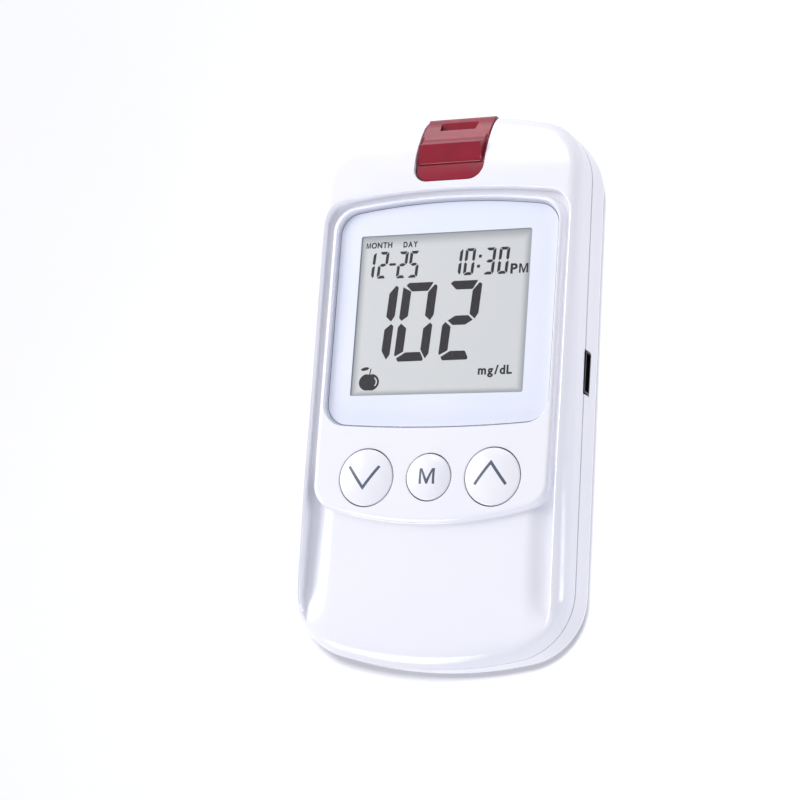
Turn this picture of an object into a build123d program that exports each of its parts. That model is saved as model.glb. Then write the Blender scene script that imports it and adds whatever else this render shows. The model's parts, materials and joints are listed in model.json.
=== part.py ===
# Blood glucose meter lying on its back: X runs across it, +Y towards the strip port, +Z out of the display.
# The origin is on the surface it rests on, under the middle of the case.
from build123d import *
import os
from math import sqrt

os.makedirs("parts", exist_ok=True)

# ---- driving dimensions, in millimetres ----
case_length = 99.6
case_height = 20.3
seam_z = 13.4
seam_gap = 0.12
lip_low_z = seam_z - 1.0
lip_inset = 0.85
wall = 1.5
slide_gap = 0.15  # between a sliding piece and what guides it
fit_gap = 0.03  # between a screw or pin and its hole
tiny = 0.01

half_length = case_length / 2
top_corner = (24.8, half_length - 5.1)  # where the end arc and the side would meet
bottom_corner = (26.1, -half_length + 4.8)
corner_radius = 12.0
rim_round = 2.3
back_bevel = 5.9  # the back's edge: a bevel with both its edges rounded
back_upper_round = 5.8
back_lower_round = 3.0

crown_top = (35.1, 22.0)  # where the upper end arc starts, and its radius
crown_bottom = (-33.0, 31.0)
hollow_drop = 3.5  # depth of the hollow's roof below the crown

recess_x = 23.4
recess_top = 34.95
recess_shoulder = 33.1  # height of the recess's arched top at its corners
moat_z = 18.5
plateau_z = 19.4
island_x = 22.2
island_top = 33.85
island_shoulder = 32.0
island_round = 0.8
ledge_y = -25.05
ledge_rise = 3.6  # how far the ledge arc climbs at its ends
panel_corner = 4.5
chin_z = 18.1
chin_valley_z = 17.45
chin_flat_x = 17.5
chin_start = -21.0
chin_flat_end = -34.0
chin_end = -46.5  # where the chin's floor meets the crown
chin_corner = 8.0

window_half_x = 21.2
window_top = 33.15
window_top_shoulder = 31.3
window_bottom = -8.3
window_bottom_shoulder = -7.4
window_corner = 4.3
window_thickness = 1.2
window_gap = 0.15
adhesive_thickness = 0.1
adhesive_width = 1.8
window_edge = 0.2
window_seat_z = plateau_z - window_thickness - adhesive_thickness

glass_y = 12.2
glass_size = (37.0, 34.4)
glass_gap = 0.2
rear_glass_height = 29.4
glass_sheet = 0.95
glass_top_z = 17.9
film_size = (34.6, 31.0)
reflector_size = (35.4, 28.6)
film_thickness = 0.15
connector_bar = (31.0, 1.8)
connector_bar_y = 16.05  # from the middle of the glass
frame_size = (40.4, 37.4)
frame_top_z = 16.6
frame_floor_z = 15.8
frame_corner = 1.2

key_y = -17.15
key_pitch = 11.9
large_key = 5.04
small_key = 4.08
key_gap = 0.2
key_flange = (0.85, 0.7)  # how far it stands out, and its thickness
key_foot_z = 16.0
key_dome_rise = 0.85
key_travel = 0.55
key_edge_rise = 0.1  # of the cap's edge over the plateau
key_edge_bevel = 0.2
dome_base = 3.5
dome_head = 2.3
dome_sheet = 0.35
dome_cap = 0.5
pill_radius = 1.3
pill_thickness = 0.2

board_top_z = 14.7
board_thickness = 1.0
board_half_x = 21.5
board_y = (-36.5, 32.5)
tongue_half_x = 8.0
tongue_top = 44.4
board_screw_places = ((-18.8, -25.5), (18.8, -25.5), (-18.8, -9.0), (18.8, -9.0))
board_screw = (0.8, 1.6, 0.6)  # shank radius, head radius, head height
board_screw_tip_z = 16.3
board_post = 1.8
board_corner = 1.5
post_root = 0.5  # how far a post runs into the roof it hangs from

slider_half_x = 6.5
slider_bottom = 36.45
slider_top = half_length - 0.25
slider_skin = 1.4
slider_corner = 2.6
slider_panel_drop = 0.6
slider_foot_z = 13.55
ridge_y = (39.7, 43.2)
ridge_z = (19.95, 20.3)
ridge_half_x = 6.15
ridge_lean = 0.15
ridge_foot_y = 45.6
ridge_hollow = (44.1, 18.85)  # lowest reach of the hollow sweep behind the ridge
notch_y = 46.8
notch_half_x = 3.5
strip_z = (15.75, 16.6)
strip_slot_x = 3.2
leg_x = (4.85, 6.15)
leg_y = (38.5, 44.0)
leg_top_z = 17.9
snap_pin = (0.5, 41.3)  # its radius and its place along Y

fork_x = (4.75, 6.25)
fork_y = (31.2, 45.0)
fork_z = (14.85, 16.3)
fork_bar = 1.2
pusher_half_x = 1.4
pusher_tip_y = 37.0
pusher_z = (15.85, 16.5)
lug_x = -11.6
lug_y = (33.0, 34.2)
lug_z = (12.6, 15.9)
lug_gap = 0.5
spring_x = -10.2
spring_z = 13.9
spring_radius = 0.95
spring_wire = 0.14
spring_turns = 5
spring_stop = (1.6, 41.3, 42.7)  # half width, and its two faces along Y

plug_half_x = 4.4
plug_y = (37.2, 43.4)
plug_top_z = 16.95
contact_count = 5
contact_pitch = 1.1
contact_width = 0.6
contact_sheet = 0.16
contact_bed_x = 2.8
contact_bed_y = 1.2
contact_bed_z = 0.3
contact_tail = 0.9
contact_heel = 0.3
contact_bend = 4.2
contact_rise = (1.1, 0.42)
plug_mouth = 0.2

cell_radius = 5.25
cell_length = 44.5
cell_nub = (1.9, 1.0)
cell_x = 5.45
cell_z = 7.2
cell_crimp = 0.25
bay_half_x = 14.3
bay_y = (-42.4, 6.2)
bay_top = 12.6
bay_wall = 1.0
bay_roof = 0.6
cradle_places = (-31.0, -18.0, -5.0)
cradle_rib = 1.2
cradle_gap = 0.1
plate_size = (8.6, 0.3, 8.6)
leaf_size = (4.0, 0.25, 7.0)  # width, sheet and height of the springs that push the cells

cover_half_x = 13.2
cover_wide_x = 14.2
cover_top = 8.5
cover_corner = 1.5
cover_wide_top = -37.5
cover_lip_z = 7.0
cover_rail = (0.8, 1.65, 2.45)  # how far it reaches under the shell, and its two heights
cover_rail_y = (-36.0, 6.0)
cover_tongue = (2.8, 1.4)  # half width and reach
run_out_z = 2.6
run_outs = ((-14.2, -12.25), (-3.0, 3.0), (12.25, 14.2))
grip_y = -29.0
grip_size = (14.0, 6.4)
grip_depth = 0.6
grip_bars = 3
grip_bar = 0.8
grip_pitch = 1.8

screw_places = ((-18.6, 37.0), (18.6, 37.0), (-19.0, -39.5), (19.0, -39.5))
screw_shank = 1.0
screw_head = (2.0, 1.3)
screw_seat_z = 7.3
screw_tip_z = 16.2
boss_radius = 2.7

usb_y = 2.3
usb_size = (6.6, 7.4, 2.6)  # depth, width and height of the metal shell
usb_mouth_x = 25.6
usb_sheet = 0.3
usb_gap = 0.25
usb_corner = 0.5
usb_root = 1.2
usb_side = 0.9
usb_blade = 0.7

buzzer_place = (19.3, -17.0)
buzzer_size = (3.7, 3.0)
buzzer_hole = 0.8
chip_place = (-5.5, -30.4)
chip_body = (7.0, 7.0, 1.3)
chip_bevel = 0.15
chip_span = 9.0
chip_pin = 0.35
chip_pins = 8
chip_pin_pitch = 0.8
radio_place = (8.6, -30.4)
radio_size = (11.0, 8.0, 1.6)
radio_board = 0.6
radio_aerial = 2.6
crystal_place = (-16.0, -31.5)
crystal_size = (0.95, 6.0)
crystal_edge = 0.25
passive_size = (1.6, 0.8, 0.6)
passive_rows = (-35.6, -24.6)
passive_count = 5
passive_pitch = 3.2

sky_z = case_height + 1.0  # above everything
island_root_z = chin_valley_z - 1.0


# ---- forms that several pieces share ----
def crown_z(y):
    # height of the case's crown at a place along it: flat, with an arc down to each end
    start, radius = crown_top if y > 0 else crown_bottom
    run = max(abs(y) - abs(start), 0)
    return case_height - radius + sqrt(radius**2 - run**2)


def on_crown(y, drop=0.0):
    return (y, crown_z(y) - drop)


def hollow_z(y):
    # roof of the hollow inside the front shell
    return crown_z(y) - hollow_drop


def case_outline(inset=0.0):
    # plan of the case: bowed ends, sides that spread a little towards the bottom, and round corners
    tx, ty = top_corner
    bx, by = bottom_corner
    with BuildSketch() as plan:
        with BuildLine():
            ThreePointArc((-tx, ty), (0, half_length), (tx, ty))
            Line((tx, ty), (bx, by))
            ThreePointArc((bx, by), (0, -half_length), (-bx, by))
            Line((-bx, by), (-tx, ty))
        make_face()
        if inset:
            offset(amount=-inset, kind=Kind.INTERSECTION)
        fillet(plan.vertices(), radius=corner_radius - inset)
    return plan.sketch


def crown_profile(drop=0.0):
    # side view of the case under its crown, for a sketch on Plane.YZ
    top, bottom = crown_top[0], crown_bottom[0]
    with BuildSketch() as side:
        with BuildLine():
            Line(on_crown(bottom, drop), on_crown(top, drop))
            ThreePointArc(
                on_crown(top, drop), on_crown((top + half_length) / 2, drop), on_crown(half_length, drop)
            )
            Polyline(on_crown(half_length, drop), (half_length, 0), (-half_length, 0), on_crown(-half_length, drop))
            ThreePointArc(
                on_crown(-half_length, drop), on_crown((bottom - half_length) / 2, drop), on_crown(bottom, drop)
            )
        make_face()
    return side.sketch


def front_form(inset=0.0, drop=0.0):
    # the upper half as a full block, before anything is sunk into it
    with BuildPart() as block:
        with BuildSketch(Plane.XY.offset(seam_z)):
            add(case_outline(inset))
        extrude(amount=case_height)
        with BuildSketch(Plane.YZ):
            add(crown_profile(drop))
        extrude(amount=case_length, both=True, mode=Mode.INTERSECT)
    return block.part


def rear_form(inset=0.0, top_z=seam_z):
    # the lower half as a full block, its back edge bevelled and rounded like a hull
    bevel = back_bevel - (2 - sqrt(2)) * inset
    with BuildPart() as block:
        with BuildSketch(Plane.XY.offset(inset)):
            add(case_outline(inset))
        extrude(amount=top_z - inset)
        chamfer(block.faces().sort_by(Axis.Z)[0].edges(), length=bevel)
        for height, radius in ((inset + bevel, back_upper_round), (inset, back_lower_round)):
            fillet(
                block.edges().filter_by_position(Axis.Z, height - tiny, height + tiny), radius=radius - inset
            )
    return block.part


def bowed_plan(half_x, bottom, bottom_side, top, top_side, corner, grow=0.0):
    # plate with straight sides, an arched top and a bowed bottom, all corners round
    with BuildSketch() as plan:
        with BuildLine():
            ThreePointArc((-half_x, top_side), (0, top), (half_x, top_side))
            Line((half_x, top_side), (half_x, bottom_side))
            ThreePointArc((half_x, bottom_side), (0, bottom), (-half_x, bottom_side))
            Line((-half_x, bottom_side), (-half_x, top_side))
        make_face()
        if grow:
            offset(amount=grow, kind=Kind.INTERSECTION)
        fillet(plan.vertices(), radius=corner + grow)
    return plan.sketch


def window_plan(grow=0.0):
    return bowed_plan(
        window_half_x, window_bottom, window_bottom_shoulder, window_top, window_top_shoulder, window_corner, grow
    )


def slider_plan(grow, top):
    # plan of the strip slider, or of its slot: straight sides and round lower corners
    half_x = slider_half_x + grow
    foot = slider_bottom - grow
    with BuildSketch() as plan:
        Polygon((-half_x, foot), (half_x, foot), (half_x, top), (-half_x, top), align=None)
        fillet(plan.vertices().group_by(Axis.Y)[0], radius=slider_corner + grow)
    return plan.sketch


def cover_plan(grow=0.0):
    # battery cover: narrow where it slides between the shell's edges, wider at its lower end
    narrow_x = cover_half_x + grow
    wide_x = cover_wide_x + grow
    shoulder = cover_wide_top + grow
    top = cover_top + grow
    foot = -half_length - 1
    with BuildSketch() as plan:
        Polygon((-wide_x, foot), (wide_x, foot), (wide_x, shoulder), (-wide_x, shoulder), align=None)
        Polygon((-narrow_x, shoulder), (narrow_x, shoulder), (narrow_x, top), (-narrow_x, top), align=None)
        fillet(plan.vertices().group_by(Axis.Y)[-1], radius=cover_corner + grow)
    return plan.sketch


def block_between(low, high):
    # a plain block from its lowest to its highest corner
    size = [b - a for a, b in zip(low, high)]
    with BuildPart(Plane(low)) as block:
        Box(*size, align=(Align.MIN, Align.MIN, Align.MIN))
    return block.part


def mirrored(low, high):
    # the same block on both sides of the meter's middle plane
    other_low = (-high[0], low[1], low[2])
    other_high = (-low[0], high[1], high[2])
    return [block_between(low, high), block_between(other_low, other_high)]


def post(place, radius, low_z, high_z):
    with BuildPart(Plane((*place, low_z))) as column:
        Cylinder(radius, high_z - low_z, align=(Align.CENTER, Align.CENTER, Align.MIN))
    return column.part


def coil(start, radius, wire, turns, room, direction):
    # helical spring along Y, as long as the room it has; its wire has four flats
    height = room - 2 * (wire + tiny)
    first = (start[0], start[1] + direction[1] * (wire + tiny), start[2])
    with BuildPart() as spring:
        with BuildLine() as path:
            Helix(pitch=height / turns, height=height, radius=radius, center=first, direction=direction)
        with BuildSketch(path.line ^ 0):
            RegularPolygon(wire, 4)
        sweep(is_frenet=True)
    return spring


key_places = {"down": (-key_pitch, key_y), "memory": (0, key_y), "up": (key_pitch, key_y)}
key_radii = {"down": large_key, "memory": small_key, "up": large_key}
usb_low = (usb_mouth_x - usb_size[0], usb_y - usb_size[1] / 2, board_top_z - board_thickness - usb_size[2])
usb_high = (usb_mouth_x, usb_y + usb_size[1] / 2, board_top_z - board_thickness)
usb_cut_low = (usb_low[0] - 1, usb_low[1] - usb_gap, usb_low[2] - usb_gap)
usb_cut_high = (half_length, usb_high[1] + usb_gap, usb_high[2] + usb_gap)
# ---- front shell ----
with BuildPart() as chin_hollow:
    # the space over the chin: its floor runs out into the crown
    with BuildSketch(Plane.YZ):
        with BuildLine():
            Line((chin_start, chin_z), (chin_flat_end, chin_z))
            TangentArc((chin_flat_end, chin_z), on_crown(chin_end), tangent=(-1, 0))
            Polyline(on_crown(chin_end), (chin_end, sky_z), (chin_start, sky_z), (chin_start, chin_z))
        make_face()
    extrude(amount=recess_x, both=True)
    # its two sides roll down into valleys beside the rim
    with BuildSketch(Plane.XZ.offset(-chin_start)):
        for side in (-1, 1):
            flat_edge = (side * chin_flat_x, chin_z)
            valley = (side * recess_x, chin_valley_z)
            with BuildLine():
                TangentArc(flat_edge, valley, tangent=(side, 0))
                Polyline(valley, (valley[0], sky_z), (flat_edge[0], sky_z), flat_edge)
            make_face()
    extrude(amount=chin_start - chin_end)
    # rounded at its lower corners
    with BuildSketch() as chin_plan:
        Polygon((-recess_x, chin_end), (recess_x, chin_end), (recess_x, chin_start), (-recess_x, chin_start), align=None)
        fillet(chin_plan.vertices().group_by(Axis.Y)[0], radius=chin_corner)
    extrude(amount=sky_z, mode=Mode.INTERSECT)

with BuildPart() as front_shell:
    add(front_form())
    crown_rim = (
        front_shell.edges()
        .filter_by(Axis.Z, reverse=True)
        .filter_by(Axis.X, reverse=True)
        .filter_by_position(Axis.Z, seam_z + 0.5, case_height)
    )
    fillet(crown_rim, radius=rim_round)
    # sunken panel, as deep as the moat round the island
    with BuildSketch(Plane.XY.offset(moat_z)):
        add(bowed_plan(recess_x, ledge_y - 1, ledge_y, recess_top, recess_shoulder, panel_corner))
    extrude(amount=case_height, mode=Mode.SUBTRACT)
    # chin below the ledge
    add(chin_hollow.part, mode=Mode.SUBTRACT)
    # island that carries the lens and the keys, with its rounded edge
    with BuildSketch(Plane.XY.offset(island_root_z)):
        add(bowed_plan(island_x, ledge_y, ledge_y + ledge_rise, island_top, island_shoulder, panel_corner))
    extrude(amount=plateau_z - island_root_z)
    island_rim = (
        front_shell.edges()
        .filter_by(Axis.Z, reverse=True)
        .filter_by_position(Axis.Z, plateau_z - tiny, plateau_z + tiny)
    )
    fillet(island_rim, radius=island_round)
    # hollow inside
    add(front_form(wall, hollow_drop), mode=Mode.SUBTRACT)
    # pocket for the lens, and the openings for the display and the keys
    with BuildSketch(Plane.XY.offset(window_seat_z)):
        add(window_plan(window_gap))
    extrude(amount=case_height, mode=Mode.SUBTRACT)
    with BuildSketch(Plane.XY.offset(seam_z)):
        with Locations((0, glass_y)):
            Rectangle(glass_size[0] + 2 * glass_gap, glass_size[1] + 2 * glass_gap)
        for name, place in key_places.items():
            with Locations(place):
                Circle(key_radii[name] + key_gap)
    extrude(amount=case_height, mode=Mode.SUBTRACT)
    # posts for the board's screws and the case's screws
    for place in board_screw_places:
        add(post(place, board_post, board_top_z, hollow_z(place[1]) + post_root))
    for place in screw_places:
        add(post(place, boss_radius, seam_z, hollow_z(place[1]) + post_root))
    # stop that the ejector's spring pushes against
    stop_half, stop_face, stop_back = spring_stop
    add(
        block_between(
            (spring_x - stop_half, stop_face, spring_z - stop_half),
            (spring_x + stop_half, stop_back, hollow_z(stop_back) + post_root),
        )
    )
    # lip that locates the rear shell
    with BuildSketch(Plane.XY.offset(lip_low_z)):
        add(case_outline(lip_inset))
        add(case_outline(wall), mode=Mode.SUBTRACT)
    extrude(amount=seam_z - lip_low_z)
    # slot for the strip slider, open at the top end
    with BuildSketch(Plane.XY.offset(seam_z)):
        add(slider_plan(slide_gap, half_length + 1))
    extrude(amount=case_height, mode=Mode.SUBTRACT)
    # pilot holes and the socket's cut-out
    for place in screw_places:
        add(post(place, screw_shank + fit_gap, seam_z - 1, screw_tip_z + tiny), mode=Mode.SUBTRACT)
    for place in board_screw_places:
        add(post(place, board_screw[0] + fit_gap, board_top_z - 1, board_screw_tip_z + tiny), mode=Mode.SUBTRACT)
    add(block_between(usb_cut_low, usb_cut_high), mode=Mode.SUBTRACT)

# ---- rear shell ----
with BuildPart() as screw_columns:
    for place in screw_places:
        add(post(place, boss_radius, 0, seam_z - seam_gap))
    add(rear_form(fit_gap), mode=Mode.INTERSECT)

with BuildPart() as cover_rebate:
    # the skin that the battery cover takes the place of, grown by its gap
    with BuildSketch(Plane.XY.offset(-1)):
        add(cover_plan(slide_gap))
    extrude(amount=cover_lip_z + slide_gap + 1)
    add(rear_form(wall + slide_gap), mode=Mode.SUBTRACT)

with BuildPart() as second_skin:
    # closes the case behind the cover's turned-up lip
    add(rear_form(wall + slide_gap))
    add(rear_form(wall + slide_gap + bay_wall), mode=Mode.SUBTRACT)
    add(
        block_between(
            (-bay_half_x - bay_wall, -half_length, 0), (bay_half_x + bay_wall, bay_y[0], cover_lip_z + 2 * bay_wall)
        ),
        mode=Mode.INTERSECT,
    )

with BuildPart() as rear_shell:
    add(rear_form(top_z=seam_z - seam_gap))
    add(rear_form(wall), mode=Mode.SUBTRACT)
    # rebate for the front shell's lip
    with BuildSketch(Plane.XY.offset(lip_low_z - slide_gap)):
        add(case_outline(lip_inset - slide_gap))
    extrude(amount=seam_z, mode=Mode.SUBTRACT)
    add(screw_columns.part)
    # battery bay, open to the back
    add(
        block_between(
            (-bay_half_x - bay_wall, bay_y[0] - bay_wall, wall - slide_gap),
            (bay_half_x + bay_wall, bay_y[1] + bay_wall, bay_top + bay_roof),
        )
    )
    add(second_skin.part)
    add(block_between((-bay_half_x, bay_y[0], 0), (bay_half_x, bay_y[1], bay_top)), mode=Mode.SUBTRACT)
    add(cover_rebate.part, mode=Mode.SUBTRACT)
    # run-outs for the cover's rails and tongue
    for low_x, high_x in run_outs:
        add(block_between((low_x, -half_length, 0), (high_x, bay_y[0] + tiny, run_out_z)), mode=Mode.SUBTRACT)
    low_x, high_x = run_outs[1]
    add(
        block_between((low_x, bay_y[1] - tiny, 0), (high_x, bay_y[1] + bay_wall + tiny, run_out_z)),
        mode=Mode.SUBTRACT,
    )
    # ribs that cradle the two cells
    for place in cradle_places:
        with BuildSketch(Plane.XZ.offset(-place)):
            with Locations((0, (cell_z + bay_top) / 2)):
                Rectangle(2 * bay_half_x, bay_top - cell_z)
            with Locations((-cell_x, cell_z), (cell_x, cell_z)):
                Circle(cell_radius + cradle_gap, mode=Mode.SUBTRACT)
        extrude(amount=cradle_rib / 2, both=True)
    # countersunk holes for the case's screws
    for place in screw_places:
        add(post(place, screw_head[0] + slide_gap, -1, screw_seat_z), mode=Mode.SUBTRACT)
        add(post(place, screw_shank + slide_gap, 0, seam_z), mode=Mode.SUBTRACT)
    add(block_between(usb_cut_low, usb_cut_high), mode=Mode.SUBTRACT)

# ---- battery cover ----
reach, rail_low_z, rail_high_z = cover_rail
with BuildPart() as battery_cover:
    add(rear_form())
    add(rear_form(wall), mode=Mode.SUBTRACT)
    with BuildSketch():
        add(cover_plan())
    extrude(amount=cover_lip_z, mode=Mode.INTERSECT)
    # rails that run under the shell's edges, and the tongue at the upper end
    rail_start, rail_end = cover_rail_y
    for skirt in mirrored((cover_half_x - reach, rail_start, wall), (cover_half_x, rail_end, rail_high_z)):
        add(skirt)
    for rail in mirrored((cover_half_x, rail_start, rail_low_z), (cover_half_x + reach, rail_end, rail_high_z)):
        add(rail)
    tongue_half, tongue_reach = cover_tongue
    add(block_between((-tongue_half, cover_top - reach, wall), (tongue_half, cover_top, rail_high_z)))
    add(block_between((-tongue_half, cover_top, rail_low_z), (tongue_half, cover_top + tongue_reach, rail_high_z)))
    # thumb grip: a shallow pocket with raised bars
    with BuildSketch(Plane.XY.offset(grip_depth)):
        with Locations((0, grip_y)):
            SlotOverall(*grip_size)
        with GridLocations(0, grip_pitch, 1, grip_bars):
            with Locations((0, grip_y)):
                SlotOverall(grip_size[0] - grip_size[1], grip_bar, mode=Mode.SUBTRACT)
    extrude(amount=-grip_depth, mode=Mode.SUBTRACT)

# ---- display ----
with BuildPart() as display_window:
    with BuildSketch(Plane.XY.offset(plateau_z - window_thickness)):
        add(window_plan())
    extrude(amount=window_thickness)
    chamfer(display_window.faces().sort_by(Axis.Z)[-1].edges(), length=window_edge)

with BuildPart() as window_adhesive:
    with BuildSketch(Plane.XY.offset(window_seat_z)):
        add(window_plan(-window_edge))
        add(window_plan(-adhesive_width), mode=Mode.SUBTRACT)
    extrude(amount=adhesive_thickness)

with BuildPart(Plane((0, glass_y, glass_top_z - 2 * glass_sheet))) as lcd_panel:
    on_floor = (Align.CENTER, Align.CENTER, Align.MIN)
    Box(glass_size[0], rear_glass_height, glass_sheet, align=on_floor)
    with Locations((0, 0, glass_sheet)):
        Box(*glass_size, glass_sheet, align=on_floor)

with BuildPart(Plane((0, glass_y, glass_top_z))) as front_polariser:
    Box(*film_size, film_thickness, align=on_floor)

with BuildPart(Plane((0, glass_y, glass_top_z - 2 * glass_sheet - film_thickness))) as rear_reflector:
    Box(*reflector_size, film_thickness, align=on_floor)

with BuildPart(Plane((0, glass_y, board_top_z))) as elastomer_connectors:
    with GridLocations(0, 2 * connector_bar_y, 1, 2):
        Box(*connector_bar, glass_top_z - glass_sheet - board_top_z, align=on_floor)

with BuildPart(Plane((0, glass_y, board_top_z))) as lcd_frame:
    Box(*frame_size, frame_top_z - board_top_z, align=on_floor)
    with Locations((0, 0, frame_floor_z - board_top_z)):
        Box(
            glass_size[0] + 2 * glass_gap, glass_size[1] + 2 * glass_gap, case_height,
            align=on_floor, mode=Mode.SUBTRACT,
        )
    with GridLocations(0, 2 * connector_bar_y, 1, 2):
        Box(connector_bar[0] + glass_gap, connector_bar[1] + glass_gap, case_height, mode=Mode.SUBTRACT)
    fillet(lcd_frame.edges().filter_by(Axis.Z).group_by(Axis.X)[0], radius=frame_corner)
    fillet(lcd_frame.edges().filter_by(Axis.Z).group_by(Axis.X)[-1], radius=frame_corner)


# ---- keys ----
def section_at(place):
    # upright plane through a place: its own x runs outwards, its y upwards
    return Plane(origin=(*place, 0), x_dir=(1, 0, 0), z_dir=(0, -1, 0))


def upright(place):
    return Axis((*place, 0), (0, 0, 1))


def key_cap(place, radius):
    # convex cap with a flange that keeps it under the plateau
    stand_out, flange = key_flange
    edge_z = plateau_z + key_edge_rise
    apex_z = plateau_z + key_dome_rise
    with BuildPart() as cap:
        with BuildSketch(section_at(place)):
            with BuildLine():
                Polyline(
                    (0, apex_z), (0, key_foot_z), (radius + stand_out, key_foot_z),
                    (radius + stand_out, key_foot_z + flange), (radius, key_foot_z + flange), (radius, edge_z),
                )
                TangentArc((0, apex_z), (radius, edge_z), tangent=(1, 0))
            section = make_face()
            chamfer(section.vertices().sort_by(Axis.Y)[-2], length=key_edge_bevel)
        revolve(axis=upright(place))
    return cap


def silicone_dome(place):
    # thin bell that lifts the cap and snaps through when it is pressed
    floor, top = board_top_z, key_foot_z
    with BuildPart() as dome:
        with BuildSketch(section_at(place)):
            with BuildLine():
                Polyline(
                    (dome_base, floor), (dome_head, top), (0, top), (0, top - dome_cap),
                    (dome_head - dome_sheet, top - dome_cap), (dome_base - 2 * dome_sheet, floor), close=True,
                )
            make_face()
        revolve(axis=upright(place))
    return dome


def carbon_pill(place):
    top = key_foot_z - dome_cap
    with BuildPart() as pill:
        add(post(place, pill_radius, top - pill_thickness, top))
    return pill


key_pieces = {}
for name, place in key_places.items():
    key_pieces[name + "_button"] = key_cap(place, key_radii[name])
    key_pieces[name + "_dome"] = silicone_dome(place)
    key_pieces[name + "_contact"] = carbon_pill(place)

# ---- main board and what it carries ----
board_low_z = board_top_z - board_thickness
with BuildPart() as main_board:
    with BuildSketch(Plane.XY.offset(board_low_z)):
        with Locations((0, (board_y[0] + board_y[1]) / 2)):
            RectangleRounded(2 * board_half_x, board_y[1] - board_y[0], board_corner)
        with Locations((0, (board_y[1] + tongue_top) / 2 - board_corner)):
            Rectangle(2 * tongue_half_x, tongue_top - board_y[1] + 2 * board_corner)
        with Locations(*board_screw_places):
            Circle(board_screw[0] + slide_gap, mode=Mode.SUBTRACT)
    extrude(amount=board_thickness)

with BuildPart(Plane((*chip_place, board_top_z))) as control_chip:
    Box(*chip_body, align=on_floor)
    chamfer(control_chip.faces().sort_by(Axis.Z)[-1].edges(), length=chip_bevel)
    with GridLocations(chip_pin_pitch, 0, chip_pins, 1):
        Box(chip_pin, chip_span, chip_pin, align=on_floor)
    with GridLocations(0, chip_pin_pitch, 1, chip_pins):
        Box(chip_span, chip_pin, chip_pin, align=on_floor)

with BuildPart(Plane((*radio_place, board_top_z))) as radio_module:
    Box(radio_size[0], radio_size[1], radio_board, align=on_floor)
    with Locations((-radio_aerial / 2, 0, radio_board)):
        Box(radio_size[0] - radio_aerial - 1, radio_size[1] - 1, radio_size[2] - radio_board, align=on_floor)

with BuildPart() as buzzer:
    add(post(buzzer_place, buzzer_size[0], board_low_z - buzzer_size[1], board_low_z))
    add(
        post(buzzer_place, buzzer_hole, board_low_z - buzzer_size[1] - 1, board_low_z - buzzer_size[1] + 1),
        mode=Mode.SUBTRACT,
    )

with BuildPart(Plane((*crystal_place, board_top_z + crystal_size[0]))) as clock_crystal:
    Cylinder(crystal_size[0], crystal_size[1], rotation=(0, 90, 0))
    chamfer(clock_crystal.edges().filter_by(GeomType.CIRCLE), length=crystal_edge)

with BuildPart(Plane((0, sum(passive_rows) / 2, board_top_z))) as board_components:
    with GridLocations(passive_pitch, passive_rows[1] - passive_rows[0], passive_count, 2):
        Box(*passive_size, align=on_floor)

with BuildPart() as board_screws:
    shank, head, head_height = board_screw
    for place in board_screw_places:
        add(post(place, shank, board_low_z - tiny, board_screw_tip_z))
        add(post(place, head, board_low_z - head_height, board_low_z))

# ---- strip connector, slider and its fork ----
with BuildPart() as strip_connector:
    add(block_between((-plug_half_x, plug_y[0], board_top_z), (plug_half_x, plug_y[1], plug_top_z)))
    add(
        block_between((-strip_slot_x, plug_y[0] - 1, strip_z[0]), (strip_slot_x, plug_y[1] + 1, strip_z[1])),
        mode=Mode.SUBTRACT,
    )
    add(
        block_between(
            (-contact_bed_x, plug_y[0] + contact_bed_y, board_top_z + contact_bed_z),
            (contact_bed_x, plug_y[1] + 1, strip_z[0]),
        ),
        mode=Mode.SUBTRACT,
    )
    chamfer(
        strip_connector.edges().filter_by(Axis.X).group_by(Axis.Y)[-1].filter_by_position(
            Axis.Z, strip_z[1] - tiny, strip_z[1] + tiny
        ),
        length=plug_mouth,
    )

with BuildPart() as strip_contacts:
    # spring fingers, each bent from one strip of sheet
    tail_z = board_top_z + contact_sheet / 2
    bed_z = board_top_z + contact_bed_z + contact_sheet
    for step in range(contact_count):
        centre_x = (step - (contact_count - 1) / 2) * contact_pitch
        with BuildSketch(Plane.YZ.offset(centre_x)):
            with BuildLine():
                Polyline(
                    (plug_y[1] + contact_tail, tail_z), (plug_y[1] + contact_heel, tail_z),
                    (plug_y[1] + contact_heel, bed_z), (plug_y[1] - contact_bend, bed_z),
                    (plug_y[1] - contact_bend + contact_rise[0], bed_z + contact_rise[1]),
                    (plug_y[1] - contact_bend + 2 * contact_rise[0], bed_z + contact_rise[1] / 2),
                )
            trace(line_width=contact_sheet)
        extrude(amount=contact_width / 2, both=True)

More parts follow.
